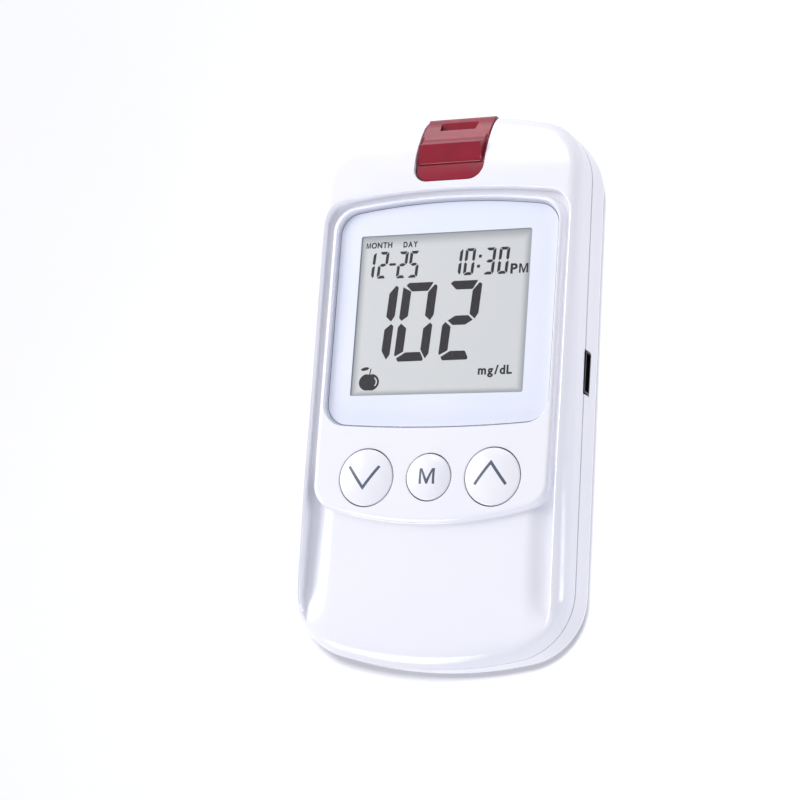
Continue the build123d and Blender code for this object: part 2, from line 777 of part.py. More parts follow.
panel_z = slider_panel_drop
with BuildPart() as strip_ejector:
    with BuildSketch(Plane.XY.offset(slider_foot_z)):
        add(slider_plan(0, slider_top))
    extrude(amount=case_height)
    # skin: low panel, then level with the crown, then the end wall
    with BuildSketch(Plane.YZ):
        with BuildLine():
            ThreePointArc(
                on_crown(slider_bottom, panel_z), on_crown(ridge_y[0], panel_z), on_crown(ridge_y[1], panel_z)
            )
            Line(on_crown(ridge_y[1], panel_z), on_crown(ridge_foot_y))
            ThreePointArc(on_crown(ridge_foot_y), on_crown((ridge_foot_y + slider_top) / 2), on_crown(slider_top))
            inner_end = slider_top - slider_skin
            Polyline(
                on_crown(slider_top), (slider_top, slider_foot_z), (inner_end, slider_foot_z),
                on_crown(inner_end, slider_skin),
            )
            ThreePointArc(
                on_crown(inner_end, slider_skin), on_crown(ridge_y[1] - 1, slider_skin + 0.1),
                on_crown(slider_bottom, panel_z + slider_skin - 0.1),
            )
            Line(on_crown(slider_bottom, panel_z + slider_skin - 0.1), on_crown(slider_bottom, panel_z))
        make_face()
    extrude(amount=case_length, both=True, mode=Mode.INTERSECT)
    # thumb ridge: blunt towards the display, swept towards the strip port
    with BuildSketch(Plane.YZ):
        with BuildLine():
            ridge_root = on_crown(ridge_y[0], 2 * panel_z)
            sweep_foot = on_crown(ridge_foot_y)
            Polyline(
                sweep_foot, on_crown(ridge_foot_y, panel_z), ridge_root, (ridge_y[0] + ridge_lean, ridge_z[0]),
                (ridge_y[1], ridge_z[1]),
            )
            ThreePointArc((ridge_y[1], ridge_z[1]), ridge_hollow, sweep_foot)
        make_face()
    extrude(amount=ridge_half_x, both=True)
    # legs that stand on the fork, with snap pins
    for leg in mirrored((leg_x[0], leg_y[0], fork_z[1]), (leg_x[1], leg_y[1], leg_top_z)):
        add(leg)
    for side in (-1, 1):
        add(post((side * sum(leg_x) / 2, snap_pin[1]), snap_pin[0], fork_z[0] + 0.3, fork_z[1]))
    # strip slot and the open notch in front of it
    add(
        block_between((-strip_slot_x, leg_y[1], strip_z[0]), (strip_slot_x, half_length, strip_z[1])),
        mode=Mode.SUBTRACT,
    )
    add(
        block_between((-notch_half_x, notch_y, strip_z[0]), (notch_half_x, half_length, case_height)),
        mode=Mode.SUBTRACT,
    )

with BuildPart() as ejector_carriage:
    for arm in mirrored((fork_x[0], fork_y[0], fork_z[0]), (fork_x[1], fork_y[1], fork_z[1])):
        add(arm)
    add(block_between((-fork_x[1], fork_y[0], fork_z[0]), (fork_x[1], fork_y[0] + fork_bar, fork_z[1])))
    add(block_between((-pusher_half_x, fork_y[0], pusher_z[0]), (pusher_half_x, pusher_tip_y, pusher_z[1])))
    # lug for the return spring, reaching down past the board's edge
    add(block_between((lug_x, lug_y[0], fork_z[0]), (-fork_x[0], lug_y[1], lug_z[1])))
    add(block_between((lug_x, lug_y[0], lug_z[0]), (-tongue_half_x - lug_gap, lug_y[1], lug_z[1])))
    for side in (-1, 1):
        add(
            post((side * sum(leg_x) / 2, snap_pin[1]), snap_pin[0] + fit_gap, fork_z[0] + 0.2, fork_z[1]),
            mode=Mode.SUBTRACT,
        )

ejector_spring = coil(
    (spring_x, lug_y[1], spring_z), spring_radius, spring_wire, spring_turns, stop_face - lug_y[1], (0, 1, 0)
)

# ---- socket for the data lead ----
with BuildPart() as usb_port:
    add(block_between(usb_low, usb_high))
    fillet(usb_port.edges().filter_by(Axis.X), radius=usb_corner)
    add(
        block_between(
            [low + usb_sheet for low in usb_low], (usb_high[0] + 1, usb_high[1] - usb_sheet, usb_high[2] - usb_sheet)
        ),
        mode=Mode.SUBTRACT,
    )

with BuildPart() as usb_tongue:
    inside_low = [low + usb_sheet for low in usb_low]
    inside_high = [high - usb_sheet for high in usb_high]
    middle_z = (usb_low[2] + usb_high[2]) / 2
    add(block_between(inside_low, (inside_low[0] + usb_root, inside_high[1], inside_high[2])))
    add(
        block_between(
            (inside_low[0], inside_low[1] + usb_side, middle_z - usb_blade / 2),
            (usb_mouth_x - 1, inside_high[1] - usb_side, middle_z + usb_blade / 2),
        )
    )

# ---- cells, their springs and contact plates ----
def dry_cell(centre_x, start_y, facing):
    # can with a crimped shoulder and a nub, lying along Y
    body = cell_length - cell_nub[1]
    lie = Plane(origin=(centre_x, start_y, cell_z), x_dir=(1, 0, 0), z_dir=(0, facing, 0))
    with BuildPart(lie) as cell:
        Cylinder(cell_radius, body, align=on_floor)
        chamfer(cell.edges().filter_by(GeomType.CIRCLE), length=cell_crimp)
        with Locations((0, 0, body)):
            Cylinder(cell_nub[0], cell_nub[1], align=on_floor)
    return cell


plate_face_low = bay_y[0] + plate_size[1]
plate_face_high = bay_y[1] - plate_size[1]
left_cell = dry_cell(-cell_x, plate_face_high - cell_length, 1)
right_cell = dry_cell(cell_x, plate_face_low + cell_length, -1)

with BuildPart() as battery_plates:
    width, sheet, height = plate_size
    for centre_x, half_x, low_y in (
        (-cell_x, width / 2, bay_y[0]), (cell_x, width / 2, bay_y[0]), (0, cell_x + width / 2, plate_face_high)
    ):
        add(
            block_between(
                (centre_x - half_x, low_y, cell_z - height / 2), (centre_x + half_x, low_y + sheet, cell_z + height / 2)
            )
        )

leaf_width, leaf_sheet, leaf_height = leaf_size
leaf_reach = plate_face_high - plate_face_low - cell_length - leaf_sheet
with BuildPart() as battery_springs:
    # one folded leaf behind each cell: it leans out from the plate and back again
    for centre_x, plate_face, facing in ((-cell_x, plate_face_low, 1), (cell_x, plate_face_high, -1)):
        low_z = cell_z - leaf_height / 2
        with BuildSketch(Plane.YZ.offset(centre_x)):
            with BuildLine():
                Polyline(
                    (plate_face + facing * leaf_sheet, low_z), (plate_face + facing * leaf_sheet, low_z + leaf_height),
                    (plate_face + facing * leaf_reach, cell_z), (plate_face + facing * 2 * leaf_sheet, low_z + 1),
                )
            trace(line_width=leaf_sheet)
        extrude(amount=leaf_width / 2, both=True)

# ---- case screws ----
with BuildPart() as case_screws:
    for place in screw_places:
        add(post(place, screw_shank, screw_seat_z - tiny, screw_tip_z))
        with BuildPart(Plane((*place, screw_seat_z - screw_head[1])), mode=Mode.PRIVATE) as head:
            Cylinder(*screw_head, align=on_floor)
        add(head.part)

# ---- labels and files ----
pieces = {
    "front_shell": front_shell,
    "rear_shell": rear_shell,
    "battery_cover": battery_cover,
    "display_window": display_window,
    "window_adhesive": window_adhesive,
    "lcd_panel": lcd_panel,
    "front_polariser": front_polariser,
    "rear_reflector": rear_reflector,
    "elastomer_connectors": elastomer_connectors,
    "lcd_frame": lcd_frame,
    **key_pieces,
    "main_board": main_board,
    "control_chip": control_chip,
    "radio_module": radio_module,
    "buzzer": buzzer,
    "clock_crystal": clock_crystal,
    "board_components": board_components,
    "board_screws": board_screws,
    "strip_connector": strip_connector,
    "strip_contacts": strip_contacts,
    "strip_ejector": strip_ejector,
    "ejector_carriage": ejector_carriage,
    "ejector_spring": ejector_spring,
    "usb_port": usb_port,
    "usb_tongue": usb_tongue,
    "left_cell": left_cell,
    "right_cell": right_cell,
    "battery_plates": battery_plates,
    "battery_springs": battery_springs,
    "case_screws": case_screws,
}
for name, piece in pieces.items():
    piece.part.label = name
    export_step(piece.part, f"parts/{name}.step")
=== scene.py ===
import json
import math
import bmesh
import bpy
import numpy as np
from mathutils import Matrix, Vector
from mathutils.geometry import tessellate_polygon


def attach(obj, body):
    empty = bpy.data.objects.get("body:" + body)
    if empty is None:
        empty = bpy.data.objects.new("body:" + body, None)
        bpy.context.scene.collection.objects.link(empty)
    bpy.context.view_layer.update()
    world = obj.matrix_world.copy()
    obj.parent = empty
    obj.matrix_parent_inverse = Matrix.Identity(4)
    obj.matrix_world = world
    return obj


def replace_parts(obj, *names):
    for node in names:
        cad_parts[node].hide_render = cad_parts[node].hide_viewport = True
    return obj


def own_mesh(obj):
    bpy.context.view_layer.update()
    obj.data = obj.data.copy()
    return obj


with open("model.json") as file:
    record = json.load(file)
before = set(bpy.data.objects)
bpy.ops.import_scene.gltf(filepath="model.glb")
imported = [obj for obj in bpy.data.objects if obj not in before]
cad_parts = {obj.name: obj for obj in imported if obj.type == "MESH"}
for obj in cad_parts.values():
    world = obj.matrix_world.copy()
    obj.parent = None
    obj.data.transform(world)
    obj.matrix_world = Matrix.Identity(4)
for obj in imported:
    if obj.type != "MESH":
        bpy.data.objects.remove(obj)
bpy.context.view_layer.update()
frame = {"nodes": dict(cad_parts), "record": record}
mm = 0.001
print("frame loaded")


def toLinear(hexText):
    # sRGB hex to the linear colour that shaders want
    channels = [int(hexText[i:i + 2], 16) / 255 for i in (1, 3, 5)]
    return tuple(c / 12.92 if c <= 0.04045 else ((c + 0.055) / 1.055) ** 2.4 for c in channels) + (1.0,)


def addNode(tree, kind, inputs=(), **settings):
    # adds a node; an input is a value, a hex colour, another node or its output, or a list of nodes to join
    node = tree.nodes.new(kind)
    for name, value in settings.items():
        setattr(node, name, value)
    for key, value in inputs.items() if isinstance(inputs, dict) else enumerate(inputs):
        for part in value if isinstance(value, list) else [value]:
            if isinstance(part, bpy.types.Node):
                part = part.outputs[0]
            if isinstance(part, bpy.types.NodeSocket):
                tree.links.new(part, node.inputs[key])
            elif isinstance(part, str) and part.startswith("#"):
                node.inputs[key].default_value = toLinear(part)
            else:
                node.inputs[key].default_value = part
    return node


def newFinish(name):
    # empty material, and the mm coordinates that its patterns start from
    finish = bpy.data.materials.new(name)
    finish.use_nodes = True
    tree = finish.node_tree
    tree.nodes.clear()
    place = addNode(tree, "ShaderNodeTexCoord").outputs["Object"]
    return finish, tree, addNode(tree, "ShaderNodeVectorMath", {0: place, "Scale": 1000.0}, operation="SCALE")


def noiseOver(tree, inMm, sizeMm, detail=2.0, stretch=(1.0, 1.0, 1.0), spread=False):
    # soft noise whose blobs are about sizeMm across; spread takes its middle values to 0 and 1
    start = addNode(tree, "ShaderNodeVectorMath", [inMm, stretch], operation="MULTIPLY")
    noise = addNode(tree, "ShaderNodeTexNoise", {"Vector": start, "Scale": 1 / sizeMm, "Detail": detail})
    return addNode(tree, "ShaderNodeMapRange", [noise, 0.3, 0.7]) if spread else noise


def closeFinish(tree, colours, gloss, height=None, depthMm=0.0, **sockets):
    # the shader: two colours mixed by a share, roughness that follows a share, and relief of a depth in mm;
    # other sockets go by their own names, with _ for a space
    mixed = addNode(tree, "ShaderNodeMix", dict(zip((0, 6, 7), colours)), data_type="RGBA")
    sockets["Base Color"] = mixed.outputs[2]
    share, low, high = gloss
    sockets["Roughness"] = addNode(tree, "ShaderNodeMapRange", {0: share, "To Min": low, "To Max": high})
    if depthMm:
        sockets["Normal"] = addNode(tree, "ShaderNodeBump", {
            "Strength": 1.0, "Distance": depthMm * mm, "Height": height,
        })
    shader = addNode(tree, "ShaderNodeBsdfPrincipled", {k.replace("_", " "): v for k, v in sockets.items()})
    addNode(tree, "ShaderNodeOutputMaterial", {"Surface": shader})


def mouldedFinish(name, colour, drift, rough, grainMm, depthMm, driftMm=18.0, **sockets):
    # a moulded plastic: faint colour drift, uneven gloss from handling, and the tool's own grain
    finish, tree, inMm = newFinish(name)
    patches = noiseOver(tree, inMm, driftMm, 3.0, spread=True)
    handled = noiseOver(tree, inMm, driftMm / 4, 4.0, spread=True)
    grain = noiseOver(tree, inMm, grainMm, 3.0)
    closeFinish(tree, (patches, colour, drift), (handled, *rough), grain, depthMm, **sockets)
    return finish


def metalFinish(name, colour, drift, rough, grainMm, depthMm, stretch=(1.0, 1.0, 1.0)):
    # a metal: the grain is drawn out along the axis that stretch makes short
    finish, tree, inMm = newFinish(name)
    grain = noiseOver(tree, inMm, grainMm, 4.0, stretch)
    worn = addNode(tree, "ShaderNodeMapRange", [grain, 0.3, 0.7])
    stain = noiseOver(tree, inMm, 3.0, 3.0, spread=True)
    closeFinish(tree, (stain, colour, drift), (worn, *rough), grain, depthMm, Metallic=1.0)
    return finish


def mottledFinish(name, colour, drift, rough, sizeMm, detail, depthMm=0.0, **sockets):
    # one fine pattern for colour, gloss and relief
    finish, tree, inMm = newFinish(name)
    mottle = noiseOver(tree, inMm, sizeMm, detail, spread=True)
    closeFinish(tree, (mottle, colour, drift), (mottle, *rough), mottle, depthMm, **sockets)
    return finish


def newObject(name, data):
    made = bpy.data.objects.new(name, data)
    bpy.context.scene.collection.objects.link(made)
    return made


def finalMesh(holder):
    # what an object's modifiers make of it; the object itself goes
    mesh = bpy.data.meshes.new_from_object(holder.evaluated_get(bpy.context.evaluated_depsgraph_get()))
    bpy.data.objects.remove(holder)
    return mesh


def linkPiece(name, mesh, finishes, body, slotName, sharp=35.0):
    # puts a finished mesh in the scene, smooth but for its sharp edges, riding on its body
    for finish in finishes if isinstance(finishes, list) else [finishes]:
        mesh.materials.append(finish)
    mesh.shade_smooth()
    mesh.set_sharp_from_angle(angle=math.radians(sharp))
    piece = newObject(name, mesh)
    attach(piece, body)
    return piece


def shapeToMesh(name, shape):
    mesh = bpy.data.meshes.new(name)
    shape.to_mesh(mesh)
    shape.free()
    return mesh


def mergedShape(node):
    # a CAD node's loose triangles, welded and with its flat faces made whole
    source = frame["nodes"][node].data
    shape = bmesh.new()
    corners = [shape.verts.new(v.co) for v in source.vertices]
    for polygon in source.polygons:
        shape.faces.new([corners[i] for i in polygon.vertices])
    bmesh.ops.remove_doubles(shape, verts=shape.verts, dist=0.0008 * mm)
    bmesh.ops.dissolve_degenerate(shape, edges=shape.edges, dist=0.0005 * mm)
    bmesh.ops.dissolve_limit(shape, angle_limit=math.radians(0.4), verts=shape.verts, edges=shape.edges)
    return shape


def bodyOf(node):
    return next(name for name, members in frame["record"]["behaviour"]["bodies"].items() if node in members)


def evenShading(piece):
    # large flat faces keep flat shading, so rounded edges read cleanly beside them
    weighted = piece.modifiers.new("evenShading", "WEIGHTED_NORMAL")
    weighted.keep_sharp = True
    weighted.weight = 90


def breakEdges(piece, width, sharp=35.0):
    if width:
        bevel = piece.modifiers.new("brokenEdges", "BEVEL")
        bevel.width = width * mm
        bevel.segments = 2
        bevel.limit_method = "ANGLE"
        bevel.angle_limit = math.radians(sharp)
    evenShading(piece)


def mergedCopy(node, name, finish, slotName, edge=0.0, sharp=35.0):
    # a smooth-shaded copy of a CAD node that stands for it, its sharp edges broken by edge mm
    piece = linkPiece(name, shapeToMesh(name, mergedShape(node)), finish, bodyOf(node), slotName, sharp)
    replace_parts(piece, node)
    breakEdges(piece, edge, sharp)
    return piece


def curveToMesh(curve):
    # curves and text are filled at a thousand times their size, because the fill is coarse on tiny ones
    mesh = finalMesh(newObject(curve.name, curve))
    bpy.data.curves.remove(curve)
    shape = bmesh.new()
    shape.from_mesh(mesh)
    bpy.data.meshes.remove(mesh)
    bmesh.ops.remove_doubles(shape, verts=shape.verts, dist=0.0005)
    return shape


def plateMesh(name, outlines, lowZ, highZ):
    # flat plate between two heights, from an outline and the outlines of its holes
    curve = bpy.data.curves.new(name, "CURVE")
    curve.dimensions = "2D"
    curve.fill_mode = "BOTH"
    for points in outlines:
        spline = curve.splines.new("POLY")
        spline.points.add(len(points) - 1)
        for point, (x, y) in zip(spline.points, points):
            point.co = (x, y, 0, 1)
        spline.use_cyclic_u = True
    curve.extrude = (highZ - lowZ) / 2
    shape = curveToMesh(curve)
    bmesh.ops.recalc_face_normals(shape, faces=shape.faces)
    bmesh.ops.translate(shape, verts=shape.verts, vec=(0, 0, (lowZ + highZ) / 2))
    bmesh.ops.scale(shape, verts=shape.verts, vec=(mm, mm, mm))
    return shapeToMesh(name, shape)


def arcPoints(centre, radius, start, end, count):
    # points along an arc, angles in degrees
    steps = [math.radians(start + (end - start) * i / (count - 1)) for i in range(count)]
    return [(centre[0] + radius * math.cos(a), centre[1] + radius * math.sin(a)) for a in steps]


def quarterTurn(count):
    # steps through a right angle: the sine of each, and how far its cosine has fallen
    return [(math.sin(a), 1 - math.cos(a)) for a in np.radians(np.linspace(0, 90, count))]


def bowedOutline(halfX, bottom, bottomSide, top, topSide, corner, grow=0.0, steps=24):
    # straight sides, an arched top and a bowed bottom, all corners round: the case's own family of plates
    points = []
    for end, side, up in ((top, topSide, 1), (bottom, bottomSide, -1)):
        rise = abs(end - side)
        radius = (halfX ** 2 + rise ** 2) / (2 * rise)
        centreY = end - up * radius
        cornerX = halfX - corner
        cornerY = centreY + up * math.sqrt((radius - corner) ** 2 - cornerX ** 2)
        lean = math.degrees(math.atan2(cornerX, abs(cornerY - centreY)))
        if up > 0:
            points += arcPoints((cornerX, cornerY), corner + grow, 0, 90 - lean, steps)
            points += arcPoints((0, centreY), radius + grow, 90 - lean, 90 + lean, 2 * steps)[1:-1]
            points += arcPoints((-cornerX, cornerY), corner + grow, 90 + lean, 180, steps)
        else:
            points += arcPoints((-cornerX, cornerY), corner + grow, 180, 270 - lean, steps)
            points += arcPoints((0, centreY), radius + grow, 270 - lean, 270 + lean, 2 * steps)[1:-1]
            points += arcPoints((cornerX, cornerY), corner + grow, 270 + lean, 360, steps)
    return points


def boxOutline(centre, width, height, corner, steps=8):
    x, y = width / 2 - corner, height / 2 - corner
    points = []
    for signX, signY, start in ((1, 1, 0), (-1, 1, 90), (-1, -1, 180), (1, -1, 270)):
        points += arcPoints((centre[0] + signX * x, centre[1] + signY * y), corner, start, start + 90, steps)
    return points


def lathe(name, profile, centre=(0, 0), steps=96):
    # turns (radius, z) points about an upright axis; a radius of 0 makes one closed pole
    shape = bmesh.new()
    rings = []
    for radius, z in profile:
        if radius == 0:
            rings.append([shape.verts.new((centre[0] * mm, centre[1] * mm, z * mm))])
        else:
            ring = arcPoints(centre, radius, 0, 360, steps + 1)[:-1]
            rings.append([shape.verts.new((x * mm, y * mm, z * mm)) for x, y in ring])
    for low, high in zip(rings, rings[1:]):
        for i in range(steps):
            j = (i + 1) % steps
            face = [low[i % len(low)], low[j % len(low)], high[j % len(high)], high[i % len(high)]]
            face = [v for k, v in enumerate(face) if v is not face[k - 1]]
            shape.faces.new(face)
    bmesh.ops.recalc_face_normals(shape, faces=shape.faces)
    return shapeToMesh(name, shape)


stageSettings = {
    "floorHalf": 2.0, "floorZ": -0.05, "floorHex": "#FFFFFF", "skyHex": "#F5F6FF", "skyStrength": 0.54,
    "lamps": {  # place in metres, size, watts, colour, and what it lights
        "softKey": ((-0.6, 0.22, 0.44), 0.4, 3.6, "#FFFDFA", "meter"),
        "backStrip": ((-0.12, 0.6, 0.5), 0.34, 1.0, "#FFFFFF", "meter"),
        "lowStrip": ((-0.3, 0.78, 0.17), 0.44, 1.3, "#FFFBFC", "meter"),
        "sideFill": ((0.68, -0.08, 0.13), 0.3, 1.9, "#F8F8FF", "meter"),
        "gripFill": ((-0.36, -0.64, 0.2), 0.3, 2.4, "#F8F8FF", "meter"),
        "floorWash": ((0.33, -0.03, 1.0), 0.09, 6.4, "#FFFFFF", "floor"),
    },
}


def oneSided(finish):
    # a surface that is only there from its front, so the floor doesn't hide the back of what stands on it
    tree = finish.node_tree
    shader = next(n for n in tree.nodes if n.type == "BSDF_PRINCIPLED")
    output = next(n for n in tree.nodes if n.type == "OUTPUT_MATERIAL")
    behind = addNode(tree, "ShaderNodeNewGeometry").outputs["Backfacing"]
    gone = addNode(tree, "ShaderNodeBsdfTransparent")
    mixed = addNode(tree, "ShaderNodeMixShader", [behind, shader, gone])
    tree.links.new(mixed.outputs[0], output.inputs["Surface"])


def makeStage(settings):
    half, floorZ = settings["floorHalf"], settings["floorZ"] * mm
    shape = bmesh.new()
    corners = ((-half, -half), (half, -half), (half, half), (-half, half))
    shape.faces.new([shape.verts.new((x, y, floorZ)) for x, y in corners])
    mesh = shapeToMesh("floor", shape)
    paint = mouldedFinish(
        "paintedBoardMatt", settings["floorHex"], "#FCFCFE", (0.75, 0.9), 1.2, 0.01, 90.0,
    )  # flat white emulsion: no gloss, barely uneven
    oneSided(paint)
    mesh.materials.append(paint)
    floor = newObject("floor", mesh)
    floor.visible_diffuse = False  # as in a light tent, the sky reaches the underside too
    world = bpy.data.worlds.new("studio")
    bpy.context.scene.world = world
    world.use_nodes = True
    world.node_tree.nodes.clear()
    sky = addNode(world.node_tree, "ShaderNodeBackground", [settings["skyHex"], settings["skyStrength"]])
    addNode(world.node_tree, "ShaderNodeOutputWorld", {"Surface": sky})
    linked = {}  # the meter's lamps leave the floor out and the floor has its own: no long shadow falls on it
    for target, state in (("meter", "EXCLUDE"), ("floor", "INCLUDE")):
        linked[target] = bpy.data.collections.new(target + "Light")
        linked[target].objects.link(floor)
        linked[target].collection_objects[0].light_linking.link_state = state
    for name, (place, size, watts, hexText, target) in settings["lamps"].items():
        light = bpy.data.lights.new(name, "AREA")
        light.shape = "SQUARE"
        light.size = size
        light.energy = watts
        light.color = toLinear(hexText)[:3]
        holder = newObject(name, light)
        holder.location = place
        aim = Vector((0, 0, 0.01)) - Vector(place)
        holder.rotation_euler = aim.to_track_quat("-Z", "Y").to_euler()
        holder.light_linking.receiver_collection = linked[target]
    bpy.context.scene.view_settings.view_transform = "Standard"


makeStage(stageSettings)

cameraSettings = {
    "place": (163.2, -89.7, 388.4), "yaw": 24.689, "pitch": -12.001, "roll": 4.126, "lens": 106.66,
}


def makeCamera(settings):
    camera = bpy.data.cameras.new("camera")
    camera.lens = settings["lens"]
    camera.sensor_width = 36.0
    camera.clip_start, camera.clip_end = 0.01, 20.0
    holder = newObject("camera", camera)
    yaw, pitch, roll = (math.radians(settings[key]) for key in ("yaw", "pitch", "roll"))
    turnY = Matrix(((math.cos(yaw), 0, -math.sin(yaw)), (0, 1, 0), (math.sin(yaw), 0, math.cos(yaw))))
    turnX = Matrix(((1, 0, 0), (0, math.cos(pitch), -math.sin(pitch)), (0, math.sin(pitch), math.cos(pitch))))
    turnZ = Matrix(((math.cos(roll), math.sin(roll), 0), (-math.sin(roll), math.cos(roll), 0), (0, 0, 1)))
    seen = turnZ @ turnX @ turnY  # its rows are the camera's right, up and back
    holder.matrix_world = Matrix.Translation(Vector(settings["place"]) * mm) @ seen.transposed().to_4x4()
    bpy.context.scene.camera = holder


makeCamera(cameraSettings)
print("stage ready")

whiteAbs = mouldedFinish(
    "whiteAbsHighGloss", "#F0F0F6", "#EDEEF5", (0.13, 0.24), 0.9, 0.0022, Specular_IOR_Level=0.5, IOR=1.54,
)  # ABS from a polished mould: clear reflections, softened where hands have dulled them
keyAbs = mouldedFinish(
    "whiteAbsKeyGloss", "#F0F0F5", "#ECECF3", (0.16, 0.28), 0.7, 0.0020, 6.0, IOR=1.54,
)  # the same plastic in small caps, a little duller on top from fingertips
redAbs = mouldedFinish(
    "redAbsHighGloss", "#94102C", "#820C25", (0.14, 0.24), 0.8, 0.0015, 5.0, IOR=1.54,
)  # deep cherry ABS: dark in its folds, pale pink where it mirrors the light
whiteAcetal = mouldedFinish(
    "naturalAcetalMoulded", "#ECEBE4", "#E2E1DA", (0.38, 0.5), 0.35, 0.006, 7.0, IOR=1.48,
)  # acetal: milky, waxy and a little warm
blackPbt = mouldedFinish(
    "blackPbtMoulded", "#1B1B1D", "#242427", (0.42, 0.6), 0.25, 0.006, 4.0, IOR=1.55,
)  # glass-filled PBT: matt black with a faint fleck
siliconeRubber = mouldedFinish(
    "translucentSiliconeMoulded", "#D9DAD6", "#CACCC8", (0.45, 0.6), 0.3, 0.004, 4.0, IOR=1.41,
    Subsurface_Weight=0.3, Subsurface_Scale=0.001,
)  # soft silicone: cloudy, light passes into it
carbonInk = mouldedFinish(
    "carbonRubberMoulded", "#141414", "#202020", (0.6, 0.8), 0.12, 0.006, 1.5,
)  # carbon-loaded rubber: sooty black without a shine
blackEpoxy = mouldedFinish(
    "epoxyMouldCompound", "#232325", "#2C2C2F", (0.5, 0.68), 0.09, 0.008, 3.0,
)  # silica-filled epoxy: sandy charcoal
foamTape = mouldedFinish(
    "greyFoamTapeCut", "#8C8E92", "#7A7C80", (0.8, 0.95), 0.18, 0.03, 2.0,
)  # closed-cell foam: tiny open pits, no gloss
keyInk = mouldedFinish(
    "greyBluePadInk", "#566072", "#4D5768", (0.35, 0.5), 0.2, 0.001, 1.5,
)  # pad-printed ink: thin, even, slightly duller than the cap
tinnedSteel = metalFinish(
    "tinPlatedSteelDrawn", "#C9CACC", "#B9BBBF", (0.28, 0.42), 0.3, 0.002,
)  # tin plate: pale, slightly cloudy metal
zincSteel = metalFinish(
    "zincPlatedSteelTurned", "#C2C6CC", "#AEB2B8", (0.25, 0.4), 0.15, 0.003,
)  # zinc plate: cool and bright with dull patches
springSteel = metalFinish(
    "springSteelDrawn", "#AEB0B4", "#94979C", (0.22, 0.36), 0.2, 0.002,
)  # drawn wire: darker steel with a running sheen
nickelSteel = metalFinish(
    "nickelPlatedSteelPressed", "#C8C4BC", "#BAB5AC", (0.2, 0.34), 0.25, 0.002, (1.0, 0.12, 1.0),
)  # nickel plate: warm bright metal with faint rolling lines
socketShadeNickel = metalFinish(
    "blackNickelPlatedSteel", "#4A484E", "#3C3A40", (0.3, 0.45), 0.25, 0.002, (1.0, 0.12, 1.0),
)  # black nickel plate: smoky metal whose dark colour also stands as painted shade for the inside of the socket, so the socket reads as a dark slot
goldPlate = metalFinish(
    "goldFlashPhosphorBronze", "#E6B65A", "#D9A54A", (0.16, 0.28), 0.15, 0.001,
)  # thin gold over bronze: deep yellow, smooth
reflectorFilm = metalFinish(
    "silverReflectorFilm", "#D8DAD8", "#CBCDCB", (0.3, 0.45), 0.12, 0.002,
)  # metallised film: silvery with a fine sparkle


def displayFaceFinish(name, settings):
    # reflective LCD seen through its polariser: grey-green, with painted shade near the edges where the mask
    # would shade them
    finish, tree, inMm = newFinish(name)
    place = addNode(tree, "ShaderNodeVectorMath", [inMm, (*settings["centre"], 0)], operation="SUBTRACT")
    x, y = addNode(tree, "ShaderNodeSeparateXYZ", [place]).outputs[:2]
    across = addNode(tree, "ShaderNodeMath", [x], operation="ABSOLUTE")
    halfX, halfY = settings["half"]
    nearest = halfX
    for along, slope, half in ((across, -1.5, halfX), (y, -1.0, halfY), (y, 2.0, halfY)):
        # the side, the top and the foot: a steeper slope makes a narrower band of painted shade
        gap = addNode(tree, "ShaderNodeMath", [along, slope, abs(slope) * half], operation="MULTIPLY_ADD")
        nearest = addNode(tree, "ShaderNodeMath", [nearest, gap], operation="MINIMUM")
    # painted shade: a darker colour blended in towards the edges of the display
    edge = addNode(tree, "ShaderNodeMapRange", [
        nearest, 0, settings["paintedShadeMm"],
    ], interpolation_type="SMOOTHSTEP")
    grain = noiseOver(tree, inMm, settings["grainMm"], spread=True)
    base = addNode(tree, "ShaderNodeMix", {
        0: grain, 6: settings["hex"], 7: settings["grainHex"],
    }, data_type="RGBA")
    closeFinish(tree, (edge, settings["paintedShadeHex"], base.outputs[2]), (grain, 0.32, 0.4), grain, 0.001)
    return finish


# the display's colour, and the painted shade along its edges
displayFace = displayFaceFinish("polariserOverReflector", {
    "centre": (-0.4, 12.55), "half": (16.4, 14.7), "paintedShadeMm": 2.4, "grainMm": 0.12,
    "hex": "#E0DFD8", "grainHex": "#DAD9D2", "paintedShadeHex": "#AEB0AD",
})
segmentInk = mottledFinish(
    "switchedLiquidCrystal", "#1A1415", "#241C1D", (0.3, 0.4), 0.5, 3.0,
)  # switched segments: nearly black, a touch brown where the reflector still shows through
displayGlass = mottledFinish(
    "sodaLimeGlassScored", "#BFD0CB", "#AEC2BC", (0.06, 0.2), 0.25, 4.0, 0.004, IOR=1.52, Coat_Weight=0.4,
)  # soda-lime display glass: greenish at the cut edge, clear coat of polish on its faces


def clearAcrylicFinish(name):
    # polished acrylic: lets everything through, mirrors a little, more at a slant, on its outer side only
    finish, tree, inMm = newFinish(name)
    wipe = noiseOver(tree, inMm, 3.0, 4.0, (1.0, 0.3, 1.0), spread=True)
    slant = addNode(tree, "ShaderNodeFresnel", {"IOR": 1.49})
    inner = addNode(tree, "ShaderNodeNewGeometry").outputs["Backfacing"]
    outer = addNode(tree, "ShaderNodeMath", [1.0, inner], operation="SUBTRACT")
    seen = addNode(tree, "ShaderNodeMath", [slant, outer], operation="MULTIPLY")
    share = addNode(tree, "ShaderNodeMath", [seen, 0.6], operation="MULTIPLY")
    through = addNode(tree, "ShaderNodeBsdfTransparent", {"Color": "#FCFDFF"})
    gloss = addNode(tree, "ShaderNodeMapRange", {0: wipe, "To Min": 0.03, "To Max": 0.09})
    mirror = addNode(tree, "ShaderNodeBsdfGlossy", {"Color": "#FFFFFF", "Roughness": gloss})
    both = addNode(tree, "ShaderNodeMixShader", [share, through, mirror])
    addNode(tree, "ShaderNodeOutputMaterial", {"Surface": both})
    return finish


clearAcrylic = clearAcrylicFinish("clearAcrylicPolished")
windowPrintInk = mouldedFinish(
    "whiteScreenPrintBehindAcrylic", "#F6F7FD", "#F2F4FC", (0.3, 0.4), 0.4, 0.001, 14.0,
)  # cool white ink printed on the back of the window


